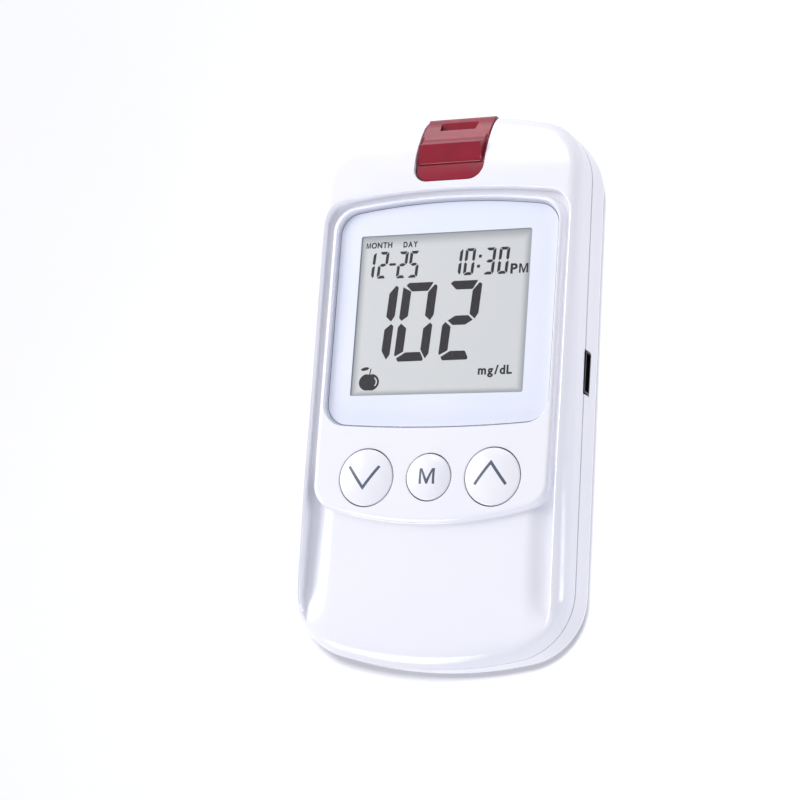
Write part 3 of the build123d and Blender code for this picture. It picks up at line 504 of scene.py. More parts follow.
def zebraFinish(name, pitchMm):
    # conductive and insulating layers in turn; the real 0.1 mm layers are drawn coarser so that they show
    finish, tree, inMm = newFinish(name)
    scale = 1 / (math.pi * pitchMm)
    wave = addNode(tree, "ShaderNodeTexWave", {"Vector": inMm, "Scale": scale}, bands_direction="X")
    layers = addNode(tree, "ShaderNodeMapRange", [
        wave.outputs["Fac"], 0.45, 0.55,
    ], interpolation_type="SMOOTHSTEP")
    closeFinish(tree, (layers, "#2B2B2D", "#B9B4A6"), (layers, 0.75, 0.55), layers, 0.008)
    return finish


zebraRubber = zebraFinish("layeredElastomerCut", 0.4)


def solderMaskFinish(name):
    # FR4 under green mask: copper tracks stand a little proud and look paler, glass weave shows faintly
    finish, tree, inMm = newFinish(name)
    cells = addNode(tree, "ShaderNodeTexVoronoi", {"Vector": inMm, "Scale": 0.36}, distance="CHEBYCHEV")
    inCell = addNode(tree, "ShaderNodeMapRange", [cells.outputs["Distance"], 0.35, 0.4])
    lanes = addNode(tree, "ShaderNodeTexWave", {
        "Vector": inMm, "Scale": 0.32, "Distortion": 1.6, "Detail Scale": 0.12,
    }, bands_direction="Y")
    tracks = addNode(tree, "ShaderNodeMapRange", [
        lanes.outputs["Fac"], 0.62, 0.7,
    ], interpolation_type="SMOOTHSTEP")
    copper = addNode(tree, "ShaderNodeMath", [tracks, inCell], operation="MULTIPLY")
    vias = addNode(tree, "ShaderNodeTexVoronoi", {"Vector": inMm, "Scale": 0.42, "Randomness": 0.8})
    ring = addNode(tree, "ShaderNodeMapRange", [vias.outputs["Distance"], 0.13, 0.16, 1, 0])
    proud = addNode(tree, "ShaderNodeMath", [copper, ring], operation="MAXIMUM")
    weave = noiseOver(tree, inMm, 0.3, 1.0, spread=True)
    mask = addNode(tree, "ShaderNodeMix", {0: weave, 6: "#175C36", 7: "#1B663D"}, data_type="RGBA").outputs[2]
    raised = addNode(tree, "ShaderNodeMix", {0: copper, 6: mask, 7: "#2C8350"}, data_type="RGBA").outputs[2]
    closeFinish(tree, (ring, raised, "#C8B27A"), (weave, 0.25, 0.36), proud, 0.03)
    return finish


greenMask = solderMaskFinish("greenSolderMaskOverFr4")


def cellSleeveFinish(name, bandY, turned):
    # printed shrink sleeve of a plain alkaline cell: charcoal with a copper band at one end
    finish, tree, inMm = newFinish(name)
    along = addNode(tree, "ShaderNodeSeparateXYZ", [inMm]).outputs["Y"]
    share = (1, 0) if turned else (0, 1)
    band = addNode(tree, "ShaderNodeMapRange", [along, bandY - 0.05, bandY + 0.05, *share])
    scuff = noiseOver(tree, inMm, 1.2, 5.0, (1.0, 0.25, 1.0), spread=True)
    ends = []
    for first, second in (("#26282C", "#2E3035"), ("#B9774A", "#A96A40")):
        mixed = addNode(tree, "ShaderNodeMix", {0: scuff, 6: first, 7: second}, data_type="RGBA")
        ends.append(mixed.outputs[2])
    closeFinish(tree, (band, *ends), (scuff, 0.22, 0.38), scuff, 0.004, Coat_Weight=0.3)
    return finish


cellSleeves = {
    "left": cellSleeveFinish("alkalineSleeveLeft", -8.0, False),
    "right": cellSleeveFinish("alkalineSleeveRight", -28.0, True),
}
print("finishes ready")

caseSettings = {
    "halfLength": 49.8, "height": 20.3, "topTip": (24.8, 44.7), "bottomTip": (26.1, -45.0), "corner": 12.0,
    "crownTop": (35.1, 22.0), "crownBottom": (33.0, 31.0),  # where each end arc starts, and its radius
    "rim": (2.3, 3.5), "rimGrows": (-26.0, 8.0), "landDrop": 0.8, "landSinks": (14.0, 36.0, 38.0, 48.5),
    "seamZ": 13.55, "seamEase": 0.2, "lipZ": 12.4, "lipInset": 0.85,
    "wall": 1.5, "hollowDrop": 3.5, "chinHollowDrop": 0.3, "chinHollowSinks": (14.0, 23.0),
    "hollowMiddle": ((0, 1), 24, 50, 6),
    "recess": {  # the sunken outline, and the island that stands in it
        "halfX": 23.4, "top": 34.95, "topSide": 33.1, "topCorner": 4.5,
        "bottom": -46.5, "bottomSide": -46.45, "bottomCorner": 9.0,
    },
    "island": {
        "halfX": 22.2, "top": 33.85, "topSide": 32.0, "topCorner": 4.5,
        "bottom": -25.05, "bottomSide": -21.45, "bottomCorner": 4.5,
    },
    "recessEase": 0.28, "recessFoot": 0.4, "islandFoot": 0.35, "islandRound": 0.85,
    "moatZ": 18.5, "plateauZ": 19.4,
    "chin": {
        "z": 18.1, "valleyZ": 16.9, "flatX": 18.0, "valleyX": 23.2, "flatEnd": -34.0, "end": -46.5,
        "starts": (13.0, 24.5), "valleyFade": (35.0, 46.0),
        "runOut": (0.25, 1.4), "runOutWide": 3.0, "melt": 0.9,
    },
    "pocketGrow": 0.15, "pocketZ": 18.1, "pocketCentre": (0, 12), "slotCentre": (0, 44),
    "mouthEase": 0.12, "cutPast": 0.6, "postEase": 0.1, "pilotEase": 0.15, "postRoot": 0.4,
    "opening": ((0, 12.2), 37.4, 34.8, 0.4),
    "keyHoles": ((-11.9, 5.24), (0.0, 4.28), (11.9, 5.24)), "keyY": -17.15,
    "casePosts": (((-18.6, 37.0), (18.6, 37.0), (-19.0, -39.5), (19.0, -39.5)), 2.7, 13.4, 1.03, 16.21),
    "boardPosts": (((-18.8, -25.5), (18.8, -25.5), (-18.8, -9.0), (18.8, -9.0)), 1.8, 14.7, 0.83, 16.31),
    "springStop": ((-11.8, 41.3, 12.3), (-8.6, 42.7, 17.2)),
    "socketCut": ((17.0, -1.65, 10.85), (50.0, 6.25, 13.95)),
    "around": 560, "sharp": 32.0,
}


def crownHeight(settings, y):
    # the crown is flat, with an arc down to each end
    y = np.asarray(y, float)
    (topStart, topRadius), (bottomStart, bottomRadius) = settings["crownTop"], settings["crownBottom"]
    radius = np.where(y > 0, topRadius, bottomRadius)
    run = np.maximum(np.abs(y) - np.where(y > 0, topStart, bottomStart), 0)
    return settings["height"] - radius + np.sqrt(radius ** 2 - run ** 2)


def landHeight(settings, y):
    # the land beside the chin sinks a little below the crown
    down = -np.asarray(y, float)
    start, deep, rising, end = settings["landSinks"]
    share = smoothStep(down, start, deep) * (1 - smoothStep(down, rising, end))
    return crownHeight(settings, y) - settings["landDrop"] * share


def rimRadius(settings, y):
    # the case's upper edge is rounder towards the grip
    small, large = settings["rim"]
    wanted = small + (large - small) * smoothStep(-np.asarray(y, float), *settings["rimGrows"])
    return np.minimum(wanted, landHeight(settings, y) - settings["seamZ"] - settings["seamEase"] - 0.05)


def caseOutline(settings, inset=0.0):
    # plan of the case: bowed ends, straight sides that spread a little, round corners
    tipTop, tipBottom = Vector(settings["topTip"]), Vector(settings["bottomTip"])
    side = (tipBottom - tipTop).normalized()
    inward = Vector((side.y, -side.x))
    corner = settings["corner"]
    halves = {}
    for up, tip in ((1, tipTop), (-1, tipBottom)):
        end = up * settings["halfLength"]
        rise = abs(end - tip.y)
        bow = (tip.x ** 2 + rise ** 2) / (2 * rise)
        bowCentre = Vector((0, end - up * bow))
        start = tipTop + inward * corner - bowCentre
        half = start.dot(side)
        reach = math.sqrt(half ** 2 - start.length_squared + (bow - corner) ** 2)
        centre = tipTop + inward * corner + side * (-half - up * reach)
        lean = math.degrees(math.atan2(centre.y - bowCentre.y, centre.x))
        flat = math.degrees(math.atan2(-inward.y, -inward.x))
        arc = arcPoints(bowCentre, bow - inset, up * 90, lean, 60)[:-1]
        halves[up] = arc + arcPoints(centre, corner - inset, lean, flat, 60)
    right = halves[-1] + halves[1][::-1]
    return right + [(-x, y) for x, y in right[::-1]][1:-1]


def bowedLoop(plan, grow=0.0):
    # arched top and bowed bottom, each with its own corner radius
    ends = [plan[key] for key in ("halfX", "bottom", "bottomSide", "top", "topSide")]
    upper = bowedOutline(*ends, plan["topCorner"], grow, 40)
    lower = bowedOutline(*ends, plan["bottomCorner"], grow, 40)
    middle = (plan["top"] + plan["bottom"]) / 2
    return [p for p in upper if p[1] > middle] + [p for p in lower if p[1] <= middle]


def onRays(outline, angles, centre=(0, 0)):
    # where rays from the centre meet an outline that bulges everywhere
    corners = np.array(outline, float) - centre
    around = np.arctan2(corners[:, 1], corners[:, 0])
    order = np.argsort(around)
    corners, around = corners[order], around[order]
    corners = np.vstack((corners[-1:], corners, corners[:1]))
    around = np.concatenate((around[-1:] - 2 * math.pi, around, around[:1] + 2 * math.pi))
    after = np.searchsorted(around, angles, side="right")
    first, step = corners[after - 1], corners[after] - corners[after - 1]
    rayX, rayY = np.cos(angles), np.sin(angles)
    share = -(rayX * first[:, 1] - rayY * first[:, 0]) / (rayX * step[:, 1] - rayY * step[:, 0])
    return first + step * share[:, None] + centre


def evenAngles(count):
    # all the way round, a hair off the axes so that no ray runs along an edge
    return np.linspace(-math.pi, math.pi, count, endpoint=False) + 0.001


def depthInside(outline, places):
    # how far each place is from an outline
    first = np.array(outline, float)
    step = np.roll(first, -1, 0) - first
    away = places[:, None, :] - first[None]
    share = np.clip((away * step).sum(2) / (step ** 2).sum(1), 0, 1)
    return np.sqrt(((away - share[..., None] * step) ** 2).sum(2).min(1))


def smoothStep(value, low, high):
    share = np.clip((np.asarray(value, float) - low) / (high - low), 0, 1)
    return share * share * (3 - 2 * share)


def softMin(first, second, blend):
    share = np.clip(0.5 + 0.5 * (second - first) / blend, 0, 1)
    return second * (1 - share) + first * share - blend * share * (1 - share)


def chinFloor(settings, places):
    # the moat runs down into two valleys beside the chin, whose floor runs out into the crown
    chin = settings["chin"]
    x, y = np.abs(places[:, 0]), places[:, 1]
    endZ = float(landHeight(settings, chin["end"]))
    fall, run = chin["z"] - endZ, chin["flatEnd"] - chin["end"]
    bow = (run ** 2 + fall ** 2) / (2 * fall)
    past = np.clip(chin["flatEnd"] - y, 0, bow * 0.9)
    along = chin["z"] - bow + np.sqrt(bow ** 2 - past ** 2)
    dip = (chin["z"] - chin["valleyZ"]) * smoothStep(x, chin["flatX"], chin["valleyX"])
    fade = 1 - smoothStep(-y, *chin["valleyFade"])  # the valleys die away towards the end
    low = along - dip * fade
    share = smoothStep(-y, *chin["starts"])
    return settings["moatZ"] * (1 - share) + low * share


def solidFrom(name, points, faces, collapse=0.0):
    # points in mm and faces as one closed mesh: doubled points merged, faces turned outwards
    mesh = bpy.data.meshes.new(name)
    mesh.from_pydata((np.array(points) * mm).tolist(), [], faces)
    shape = bmesh.new()
    shape.from_mesh(mesh)
    bpy.data.meshes.remove(mesh)
    bmesh.ops.remove_doubles(shape, verts=shape.verts, dist=0.0005 * mm)
    if collapse:
        bmesh.ops.dissolve_degenerate(shape, edges=shape.edges, dist=collapse * mm)
    bmesh.ops.recalc_face_normals(shape, faces=shape.faces)
    return shapeToMesh(name, shape)


def ringSolid(name, rings):
    # closed body from loops of equal length, with a flat lid on its first and last loop
    count = len(rings[0])
    points = np.vstack(rings)
    faces = [list(range(count)), list(range(len(points) - count, len(points)))]
    for k in range(len(rings) - 1):
        low, high = k * count, (k + 1) * count
        faces += [(low + i, low + (i + 1) % count, high + (i + 1) % count, high + i) for i in range(count)]
    return solidFrom(name, points, faces, 0.0003)


def level(places, z):
    # a loop of plan points at a height, or at one height for each point
    return np.column_stack((places, np.broadcast_to(z, len(places))))


def blockMesh(name, low, high):
    outline = np.array([(low[0], low[1]), (high[0], low[1]), (high[0], high[1]), (low[0], high[1])])
    return ringSolid(name, [level(outline, low[2]), level(outline, high[2])])


def combine(mesh, others, operation):
    # one exact Boolean of a body with several others
    holder = newObject(mesh.name, mesh)
    group = bpy.data.collections.new("partners")
    partners = [bpy.data.objects.new(other.name, other) for other in others]
    for partner in partners:
        group.objects.link(partner)
    boolean = holder.modifiers.new("combine", "BOOLEAN")
    boolean.operand_type = "COLLECTION"
    boolean.collection = group
    boolean.operation = operation
    boolean.solver = "EXACT"
    result = finalMesh(holder)
    for leftover in partners:
        bpy.data.objects.remove(leftover)
    bpy.data.collections.remove(group)
    for leftover in [mesh] + list(others):
        bpy.data.meshes.remove(leftover)
    return result


def outerBlock(settings):
    # the front shell's outside as one full body: wall, rim, crown, sunken panel, chin and island
    ring = np.array(bowedLoop(settings["recess"]))
    steps = np.sqrt(((np.roll(ring, -1, 0) - ring) ** 2).sum(1))
    way = np.concatenate(([0], np.cumsum(steps)))
    closed = np.vstack((ring, ring[:1]))
    even = np.linspace(0, way[-1], settings["around"], endpoint=False)
    spread = np.column_stack([np.interp(even, way, closed[:, i]) for i in (0, 1)])
    angles = np.sort(np.arctan2(spread[:, 1], spread[:, 0]))
    caseLine = caseOutline(settings)

    def caseAt(inset):
        return onRays(caseOutline(settings, inset), angles)

    def recessAt(grow):
        return onRays(bowedLoop(settings["recess"], grow), angles)

    def islandAt(grow):
        return onRays(bowedLoop(settings["island"], grow), angles)

    def outsideZ(places):
        rim = rimRadius(settings, places[:, 1])
        lean = np.clip(rim - depthInside(caseLine, places), 0, rim)
        return landHeight(settings, places[:, 1]) - rim + np.sqrt(rim ** 2 - lean ** 2)

    seam, ease = settings["seamZ"], settings["seamEase"]
    rings = [level(caseAt(settings["lipInset"]), z) for z in (settings["lipZ"], seam)]
    for sine, fall in quarterTurn(5):
        rings.append(level(caseAt(ease * (1 - sine)), seam + ease * fall))
    edge = caseAt(0)
    rimFoot = landHeight(settings, edge[:, 1]) - rimRadius(settings, edge[:, 1])
    rings += [level(edge, (seam + ease) * (1 - t) + rimFoot * t) for t in (0.33, 0.67, 1.0)]
    lipOver = recessAt(settings["recessEase"])
    foot = recessAt(0)
    floorEdge = recessAt(-settings["recessFoot"])
    edgeZ = outsideZ(lipOver)
    height = np.maximum(edgeZ - chinFloor(settings, lipOver), 0)
    chin = settings["chin"]
    runOut = 1 - smoothStep(height, *chin["runOut"])  # 1 where the chin's floor meets the crown

    def meeting(places):
        # the crown and the chin's floor melted into each other
        return softMin(outsideZ(places), chinFloor(settings, places), chin["melt"])

    def blended(places, z):
        return level(places, z * (1 - runOut) + meeting(places) * runOut)

    floorZ = meeting(floorEdge)
    for k in range(1, 25):
        t = 1 - math.cos(math.pi / 2 * k / 24)
        places = edge * (1 - t) + lipOver * t
        near = runOut * (1 - smoothStep(np.hypot(*(places - lipOver).T), 0.0, chin["runOutWide"]))
        rings.append(level(places, outsideZ(places) * (1 - near) + meeting(places) * near))
    lipZ = rings[-1][:, 2]
    bend = np.minimum(settings["recessEase"], 0.4 * np.maximum(lipZ - floorZ, 0))
    hollow = np.minimum(settings["recessFoot"], 0.4 * np.maximum(lipZ - floorZ, 0))
    for sine, fall in quarterTurn(6)[1:]:
        rings.append(blended(lipOver * (1 - sine) + foot * sine, lipZ - bend * fall))
    rings.append(blended(foot, (lipZ - bend + floorZ + hollow) / 2))
    for sine, fall in quarterTurn(7):
        rings.append(blended(foot * (1 - fall) + floorEdge * fall, floorZ + hollow * (1 - sine)))
    islandEdge = islandAt(settings["islandFoot"])
    wall = islandAt(0)
    for k in range(1, 29):
        t = 0.5 - 0.5 * math.cos(math.pi * k / 28)
        places = floorEdge * (1 - t) + islandEdge * t
        rings.append(level(places, meeting(places)))
    floorZ = rings[-1][:, 2]
    top, edgeRound = settings["plateauZ"], settings["islandRound"]
    space = top - floorZ
    foot = np.minimum(settings["islandFoot"], 0.3 * space)
    head = np.minimum(edgeRound, space - foot - 0.01)
    for sine, fall in quarterTurn(6)[1:]:
        rings.append(level(islandEdge * (1 - sine) + wall * sine, floorZ + foot * fall))
    for sine, fall in quarterTurn(11):
        rings.append(level(islandAt(-edgeRound * fall), top - head * (1 - sine)))
    rings.append(level(islandAt(-edgeRound - 0.15), top))
    return ringSolid("caseFront", rings)


def mouthRings(settings, plan, angles, centre, floorZ, topZ):
    # a cutter's loops: straight walls and a rounded mouth at the surface
    ease = settings["mouthEase"]
    rings = [level(onRays(plan(0), angles, centre), floorZ)]
    for sine, fall in quarterTurn(5):
        places = onRays(plan(ease * fall), angles, centre)
        rings.append(level(places, topZ(places[:, 1]) - ease * (1 - sine)))
    places = onRays(plan(ease + 0.05), angles, centre)
    rings.append(level(places, topZ(places[:, 1]) + settings["cutPast"]))
    return rings


def makeFrontShell(settings, window, slider):
    angles = evenAngles(360)
    top = settings["plateauZ"]
    wallLine = onRays(caseOutline(settings, settings["wall"]), angles)
    inner = onRays(boxOutline(*settings["hollowMiddle"]), angles)
    rings = [level(wallLine, settings["lipZ"] - 1)]
    for t in np.linspace(0, 1, 9):
        places = wallLine * (1 - t) + inner * t
        deeper = settings["chinHollowDrop"] * smoothStep(-places[:, 1], *settings["chinHollowSinks"])
        rings.append(level(places, crownHeight(settings, places[:, 1]) - settings["hollowDrop"] - deeper))
    cutters = [ringSolid("hollow", rings)]
    plan = [window[key] for key in ("halfX", "bottom", "bottomSide", "top", "topSide", "corner")]
    rings = mouthRings(
        settings, lambda grow: bowedOutline(*plan, grow=settings["pocketGrow"] + grow), angles,
        settings["pocketCentre"], settings["pocketZ"], lambda y: np.full(len(y), top),
    )
    cutters.append(ringSolid("lensPocket", rings))
    opening = np.array(boxOutline(*settings["opening"]))
    rings = [level(opening, z) for z in (settings["lipZ"], settings["pocketZ"] + 0.3)]
    cutters.append(ringSolid("displayOpening", rings))
    ease, past = settings["mouthEase"], top + settings["cutPast"]
    for x, radius in settings["keyHoles"]:
        profile = [(0, settings["lipZ"]), (radius, settings["lipZ"])]
        profile += [(radius + ease * fall, top - ease * (1 - sine)) for sine, fall in quarterTurn(6)]
        profile += [(radius + ease + 0.02, past), (0, past)]
        cutters.append(lathe("keyHole", profile, (x, settings["keyY"]), 128))
    gap = slider["gap"]  # the slot's edge is eased back a little, so that the gap shows
    x, foot, corner = slider["halfX"] + gap, slider["bottom"] - gap, slider["corner"] + gap
    tip = settings["halfLength"]

    def slotPlan(grow):
        lower = boxOutline((0, foot - grow + 20), 2 * (x + grow), 40, corner + grow, 16)
        return [(px, min(py, tip + 1)) for px, py in lower]

    rings = mouthRings(
        settings, slotPlan, angles, settings["slotCentre"], settings["lipZ"] - 0.5,
        lambda y: crownHeight(settings, np.minimum(y, tip)),
    )
    cutters.append(ringSolid("sliderSlot", rings))
    cutters.append(blockMesh("socketCut", *settings["socketCut"]))
    shell = combine(outerBlock(settings), cutters, "DIFFERENCE")
    parts = [blockMesh("springStop", *settings["springStop"])]
    ease, mouth = settings["postEase"], settings["pilotEase"]
    for places, radius, footZ, pilot, pilotTop in (settings["casePosts"], settings["boardPosts"]):
        for place in places:
            roof = float(crownHeight(settings, place[1])) - settings["hollowDrop"] + settings["postRoot"]
            profile = [
                (0, pilotTop), (pilot, pilotTop), (pilot, footZ + mouth), (pilot + mouth, footZ),
                (radius - ease, footZ), (radius, footZ + ease), (radius, roof), (0, roof),
            ]
            parts.append(lathe("post", profile, place, 48))
    shell = combine(shell, parts, "UNION")
    shell.name = "caseFront"
    piece = linkPiece("caseFront", shell, whiteAbs, "meter", "white_gloss_case", settings["sharp"])
    evenShading(piece)
    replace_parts(piece, "front_shell")
    print("front shell:", len(shell.polygons), "faces")


windowSettings = {
    "halfX": 21.2, "bottom": -8.3, "bottomSide": -7.4, "top": 33.15, "topSide": 31.3, "corner": 4.3,
    "centre": (0, 12), "lowZ": 18.2, "topZ": 19.4, "edge": 0.18, "printInset": 0.35, "printThick": 0.02,
    "opening": ((-0.4, 12.55), 32.8, 29.4, 0.35),
    "clear": 0.015,  # keeps the pane's underside off the print
}

sliderSettings = {
    "halfX": 6.5, "bottom": 36.45, "top": 49.55, "corner": 2.6, "gap": 0.22, "ease": 0.2, "footZ": 13.55,
    "skin": 1.4, "panelDrop": 0.6, "ridgeX": (5.9, 6.28), "ridgeY": (39.6, 43.2), "sweepFoot": 45.6,
    "ridge": [  # from the foot of the thumb face to the lip, y and z
        (39.72, 19.2), (39.68, 19.36), (39.7, 19.46), (39.82, 19.57), (40.02, 19.68), (40.3, 19.79),
        (40.65, 19.89), (41.1, 19.98), (41.7, 20.06), (42.3, 20.13), (42.75, 20.2), (43.0, 20.25),
        (43.12, 20.27), (43.2, 20.24), (43.25, 20.16), (43.27, 20.05),
    ],
    "sweep": [(43.27, 20.05), (43.36, 19.25), (44.3, 18.3), (45.6, 17.63)],  # the hollow behind the lip
    "legs": (((4.85, 38.5), (6.15, 44.0)), 16.3, 18.4),
    "pins": (5.5, 41.3, 0.5, 15.15, 16.8), "pinEase": 0.12,
    "slot": ((-3.2, 43.0, 15.75), (3.2, 51.0, 16.6)), "notch": ((3.45, 3.85), (46.7, 51.0), (15.75, 21.0)),
    "slices": [0, 0.8, 1.6, 2.4, 3.2, 5.98, 6.06, 6.14, 6.22],  # more follow at the ridge, corners and edges
}

makeFrontShell(caseSettings, windowSettings, sliderSettings)
mergedCopy("rear_shell", "caseRear", whiteAbs, "white_gloss_case", 0.0, caseSettings["sharp"])
mergedCopy("battery_cover", "batteryDoor", whiteAbs, "white_gloss_case", 0.0, caseSettings["sharp"])
print("case ready")


def makeWindow(settings):
    plan = [settings[key] for key in ("halfX", "bottom", "bottomSide", "top", "topSide", "corner")]
    lift, edge, top = settings["printThick"], settings["edge"], settings["topZ"]
    angles = evenAngles(480)
    profile = [(0.0, settings["lowZ"] + lift + settings["clear"]), (0.0, top - edge)]
    profile += [(edge * fall, top - edge * (1 - sine)) for sine, fall in quarterTurn(6)[1:]]
    profile.append((edge + 0.1, top))
    centre = settings["centre"]
    rings = [level(onRays(bowedOutline(*plan, grow=-inset), angles, centre), z) for inset, z in profile]
    pane = linkPiece("windowPane", ringSolid("windowPane", rings), clearAcrylic, "meter", "clear_window")
    evenShading(pane)
    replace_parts(pane, "display_window")
    outlines = [bowedOutline(*plan, grow=-settings["printInset"]), boxOutline(*settings["opening"])]
    mask = plateMesh("windowPrint", outlines, settings["lowZ"], settings["lowZ"] + lift)
    mask = linkPiece("windowPrint", mask, windowPrintInk, "meter", "clear_window")
    mask.data.shade_flat()
    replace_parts(mask, "display_window")


makeWindow(windowSettings)

segmentSettings = {
    "slant": 0.07, "slantAbout": 11.1, "baseZ": 18.05, "thick": 0.015, "corner": 0.12 / 1.62,
    "numbers": {  # text, left edges in mm before the slant, foot, width, height and stroke
        "reading": ("102", (-15.93, -8.42, 0.1), 3.9, 6.6, 14.35, 1.62),
        "month": ("12", (-16.5, -14.0), 19.3, 1.9, 4.95, 0.53),
        "dayOfMonth": ("25", (-10.2, -7.95), 19.2, 1.9, 4.95, 0.53),
        "hours": ("10", (0.3, 2.75), 19.2, 1.95, 4.9, 0.53),
        "minutes": ("30", (6.6, 9.2), 19.15, 1.95, 4.9, 0.53),
    },
    "dash": ((-11.9, 21.6), (-10.45, 22.05)),
    "dots": ((5.65, 22.56), (5.54, 20.74), 0.27),
    "words": {  # text, left, right, foot, capital height, thickening
        "MONTH": (-15.8, -10.75, 25.0, 1.0, 0.05), "DAY": (-8.55, -5.75, 24.9, 1.0, 0.05),
        "PM": (12.3, 15.6, 19.2, 1.7, 0.085), "mg/dL": (7.4, 13.75, 1.2, 1.5, 0.075),
    },
}

litSegments = {"0": "abcdef", "1": "bc", "2": "abged", "3": "abgcd", "5": "afgcd"}
barCorners = {  # each corner: left or right edge and strokes from it, then foot, middle or top and strokes
    "a": "l 0.35 t -0.27, l 0.68 t 0, r -0.6 t 0, r -0.54 t -0.06, r -1.05 t -0.98, l 1.1 t -0.98",
    "b": "r -0.3 t -0.24, r 0 t -0.44, r 0 m 0.75, r -0.36 m 0.12, r -1.02 m 0.66, r -1.02 t -1.13",
    "c": "r -0.3 m -0.15, r 0 m -0.4, r 0 f 0.83, r -0.36 f 0.27, r -1.02 f 1.27, r -1.02 m -0.78",
    "d": "l 0.29 f 0.38, l 1.32 f 1.02, r -1.02 f 1.02, r -0.58 f 0.25, r -0.66 f 0.02, l 0.52 f 0",
    "e": "l 0.31 m -0.14, l 1.02 m -0.68, l 1.02 f 1.1, l 0.1 f 0.6, l 0 f 0.74, l 0 m -0.58",
    "f": "l 0 t -0.42, l 0.08 t -0.5, l 1.02 t -0.98, l 1.02 m 0.66, l 0.31 m 0.15, l 0 m 0.5",
    "g": "l 0.58 m 0, l 1.4 m 0.52, r -1.15 m 0.52, r -0.56 m 0, r -1.4 m -0.52, l 1.2 m -0.52",
}


def segmentOutlines(width, height, stroke):
    # the seven bars of one digit, its lower left corner at 0, 0
    lines = {"l": 0, "r": width, "f": 0, "m": height / 2, "t": height}
    outlines = {}
    for bar, corners in barCorners.items():
        outlines[bar] = []
        for corner in corners.split(", "):
            x, stepX, y, stepY = corner.split()
            outlines[bar].append((lines[x] + float(stepX) * stroke, lines[y] + float(stepY) * stroke))
    return outlines


def addPatch(shape, outline, corner):
    # one flat patch in the XY plane, its corners eased
    points = [shape.verts.new((x * mm, y * mm, 0)) for x, y in outline]
    shape.faces.new(points)
    bmesh.ops.bevel(shape, geom=points, offset=corner * mm, segments=2, affect="VERTICES", profile=0.5)


def letterM(capital, width, stroke):
    # a plain M as four strokes of one outline, so that its fill stays true
    half, slope = width / 2, 1.25 * stroke
    return [
        (0, 0), (0, capital), (slope, capital), (half, 0.3 * capital), (width - slope, capital),
        (width, capital), (width, 0), (width - stroke, 0), (width - stroke, 0.78 * capital),
        (half + 0.4 * stroke, 0), (half - 0.4 * stroke, 0), (stroke, 0.78 * capital), (stroke, 0),
    ]


def fillOutline(shape, outline):
    # a flat patch from a folded outline, cut into triangles
    points = [shape.verts.new((x, y, 0)) for x, y in outline]
    for a, b, c in tessellate_polygon([[Vector((x, y, 0)) for x, y in outline]]):
        face = shape.faces.new((points[a], points[b], points[c]))
        face.normal_update()
        if face.normal.z < 0:
            face.normal_flip()


def wordShape(text, left, right, foot, capital, thicken):
    # lettering in Blender's own plain face, letter by letter, stretched to reach from left to right
    gap = 0.16 * capital
    capShare = 0.69  # how much of the face's size a capital takes
    whole = bmesh.new()
    cursor = 0.0
    for letter in text:
        if letter == "M":
            shape = bmesh.new()
            fillOutline(shape, letterM(capital, 0.92 * capital, 0.1 * capital + 1.4 * thicken))
        else:
            curve = bpy.data.curves.new("letter", "FONT")
            curve.body = letter
            curve.size = capital / capShare
            curve.offset = thicken
            curve.resolution_u = 6
            shape = curveToMesh(curve)
        low, high = min(v.co.x for v in shape.verts), max(v.co.x for v in shape.verts)
        bmesh.ops.translate(shape, verts=shape.verts, vec=(cursor - low, 0, 0))
        cursor += high - low + gap
        mesh = shapeToMesh("letter", shape)
        whole.from_mesh(mesh)
        bpy.data.meshes.remove(mesh)
    stretch = (right - left) / (cursor - gap)
    for vert in whole.verts:
        vert.co = ((left + vert.co.x * stretch) * mm, (foot + vert.co.y) * mm, 0)
    return shapeToMesh("word", whole)


def printMesh(name, flat, height, thick, stepMm=0.0):
    # gives flat faces a thickness and lays them on a surface whose height is a function of x and y
    bmesh.ops.remove_doubles(flat, verts=flat.verts, dist=0.0005 * mm)
    bmesh.ops.triangulate(flat, faces=flat.faces)
    for _ in range(5 if stepMm else 0):
        longOnes = [e for e in flat.edges if e.calc_length() > stepMm * mm]
        if longOnes:
            bmesh.ops.subdivide_edges(flat, edges=longOnes, cuts=1)
            bmesh.ops.triangulate(flat, faces=flat.faces)
    for face in flat.faces:
        if face.normal.z < 0:
            face.normal_flip()
    top = list(flat.verts)
    under = bmesh.ops.duplicate(flat, geom=list(flat.verts) + list(flat.edges) + list(flat.faces))
    pairs = {v: under["vert_map"][v] for v in top}
    for face in [f for f in under["geom"] if isinstance(f, bmesh.types.BMFace)]:
        face.normal_flip()
    rims = [e for e in flat.edges if e.is_boundary and e.verts[0] in pairs]
    for edge in rims:
        a, b = edge.link_loops[0].vert, edge.link_loops[0].link_loop_next.vert
        flat.faces.new([b, a, pairs[a], pairs[b]])
    for v in top:
        z = height(v.co.x / mm, v.co.y / mm)
        v.co.z = (z + thick) * mm
        pairs[v].co.z = z * mm
    return shapeToMesh(name, flat)


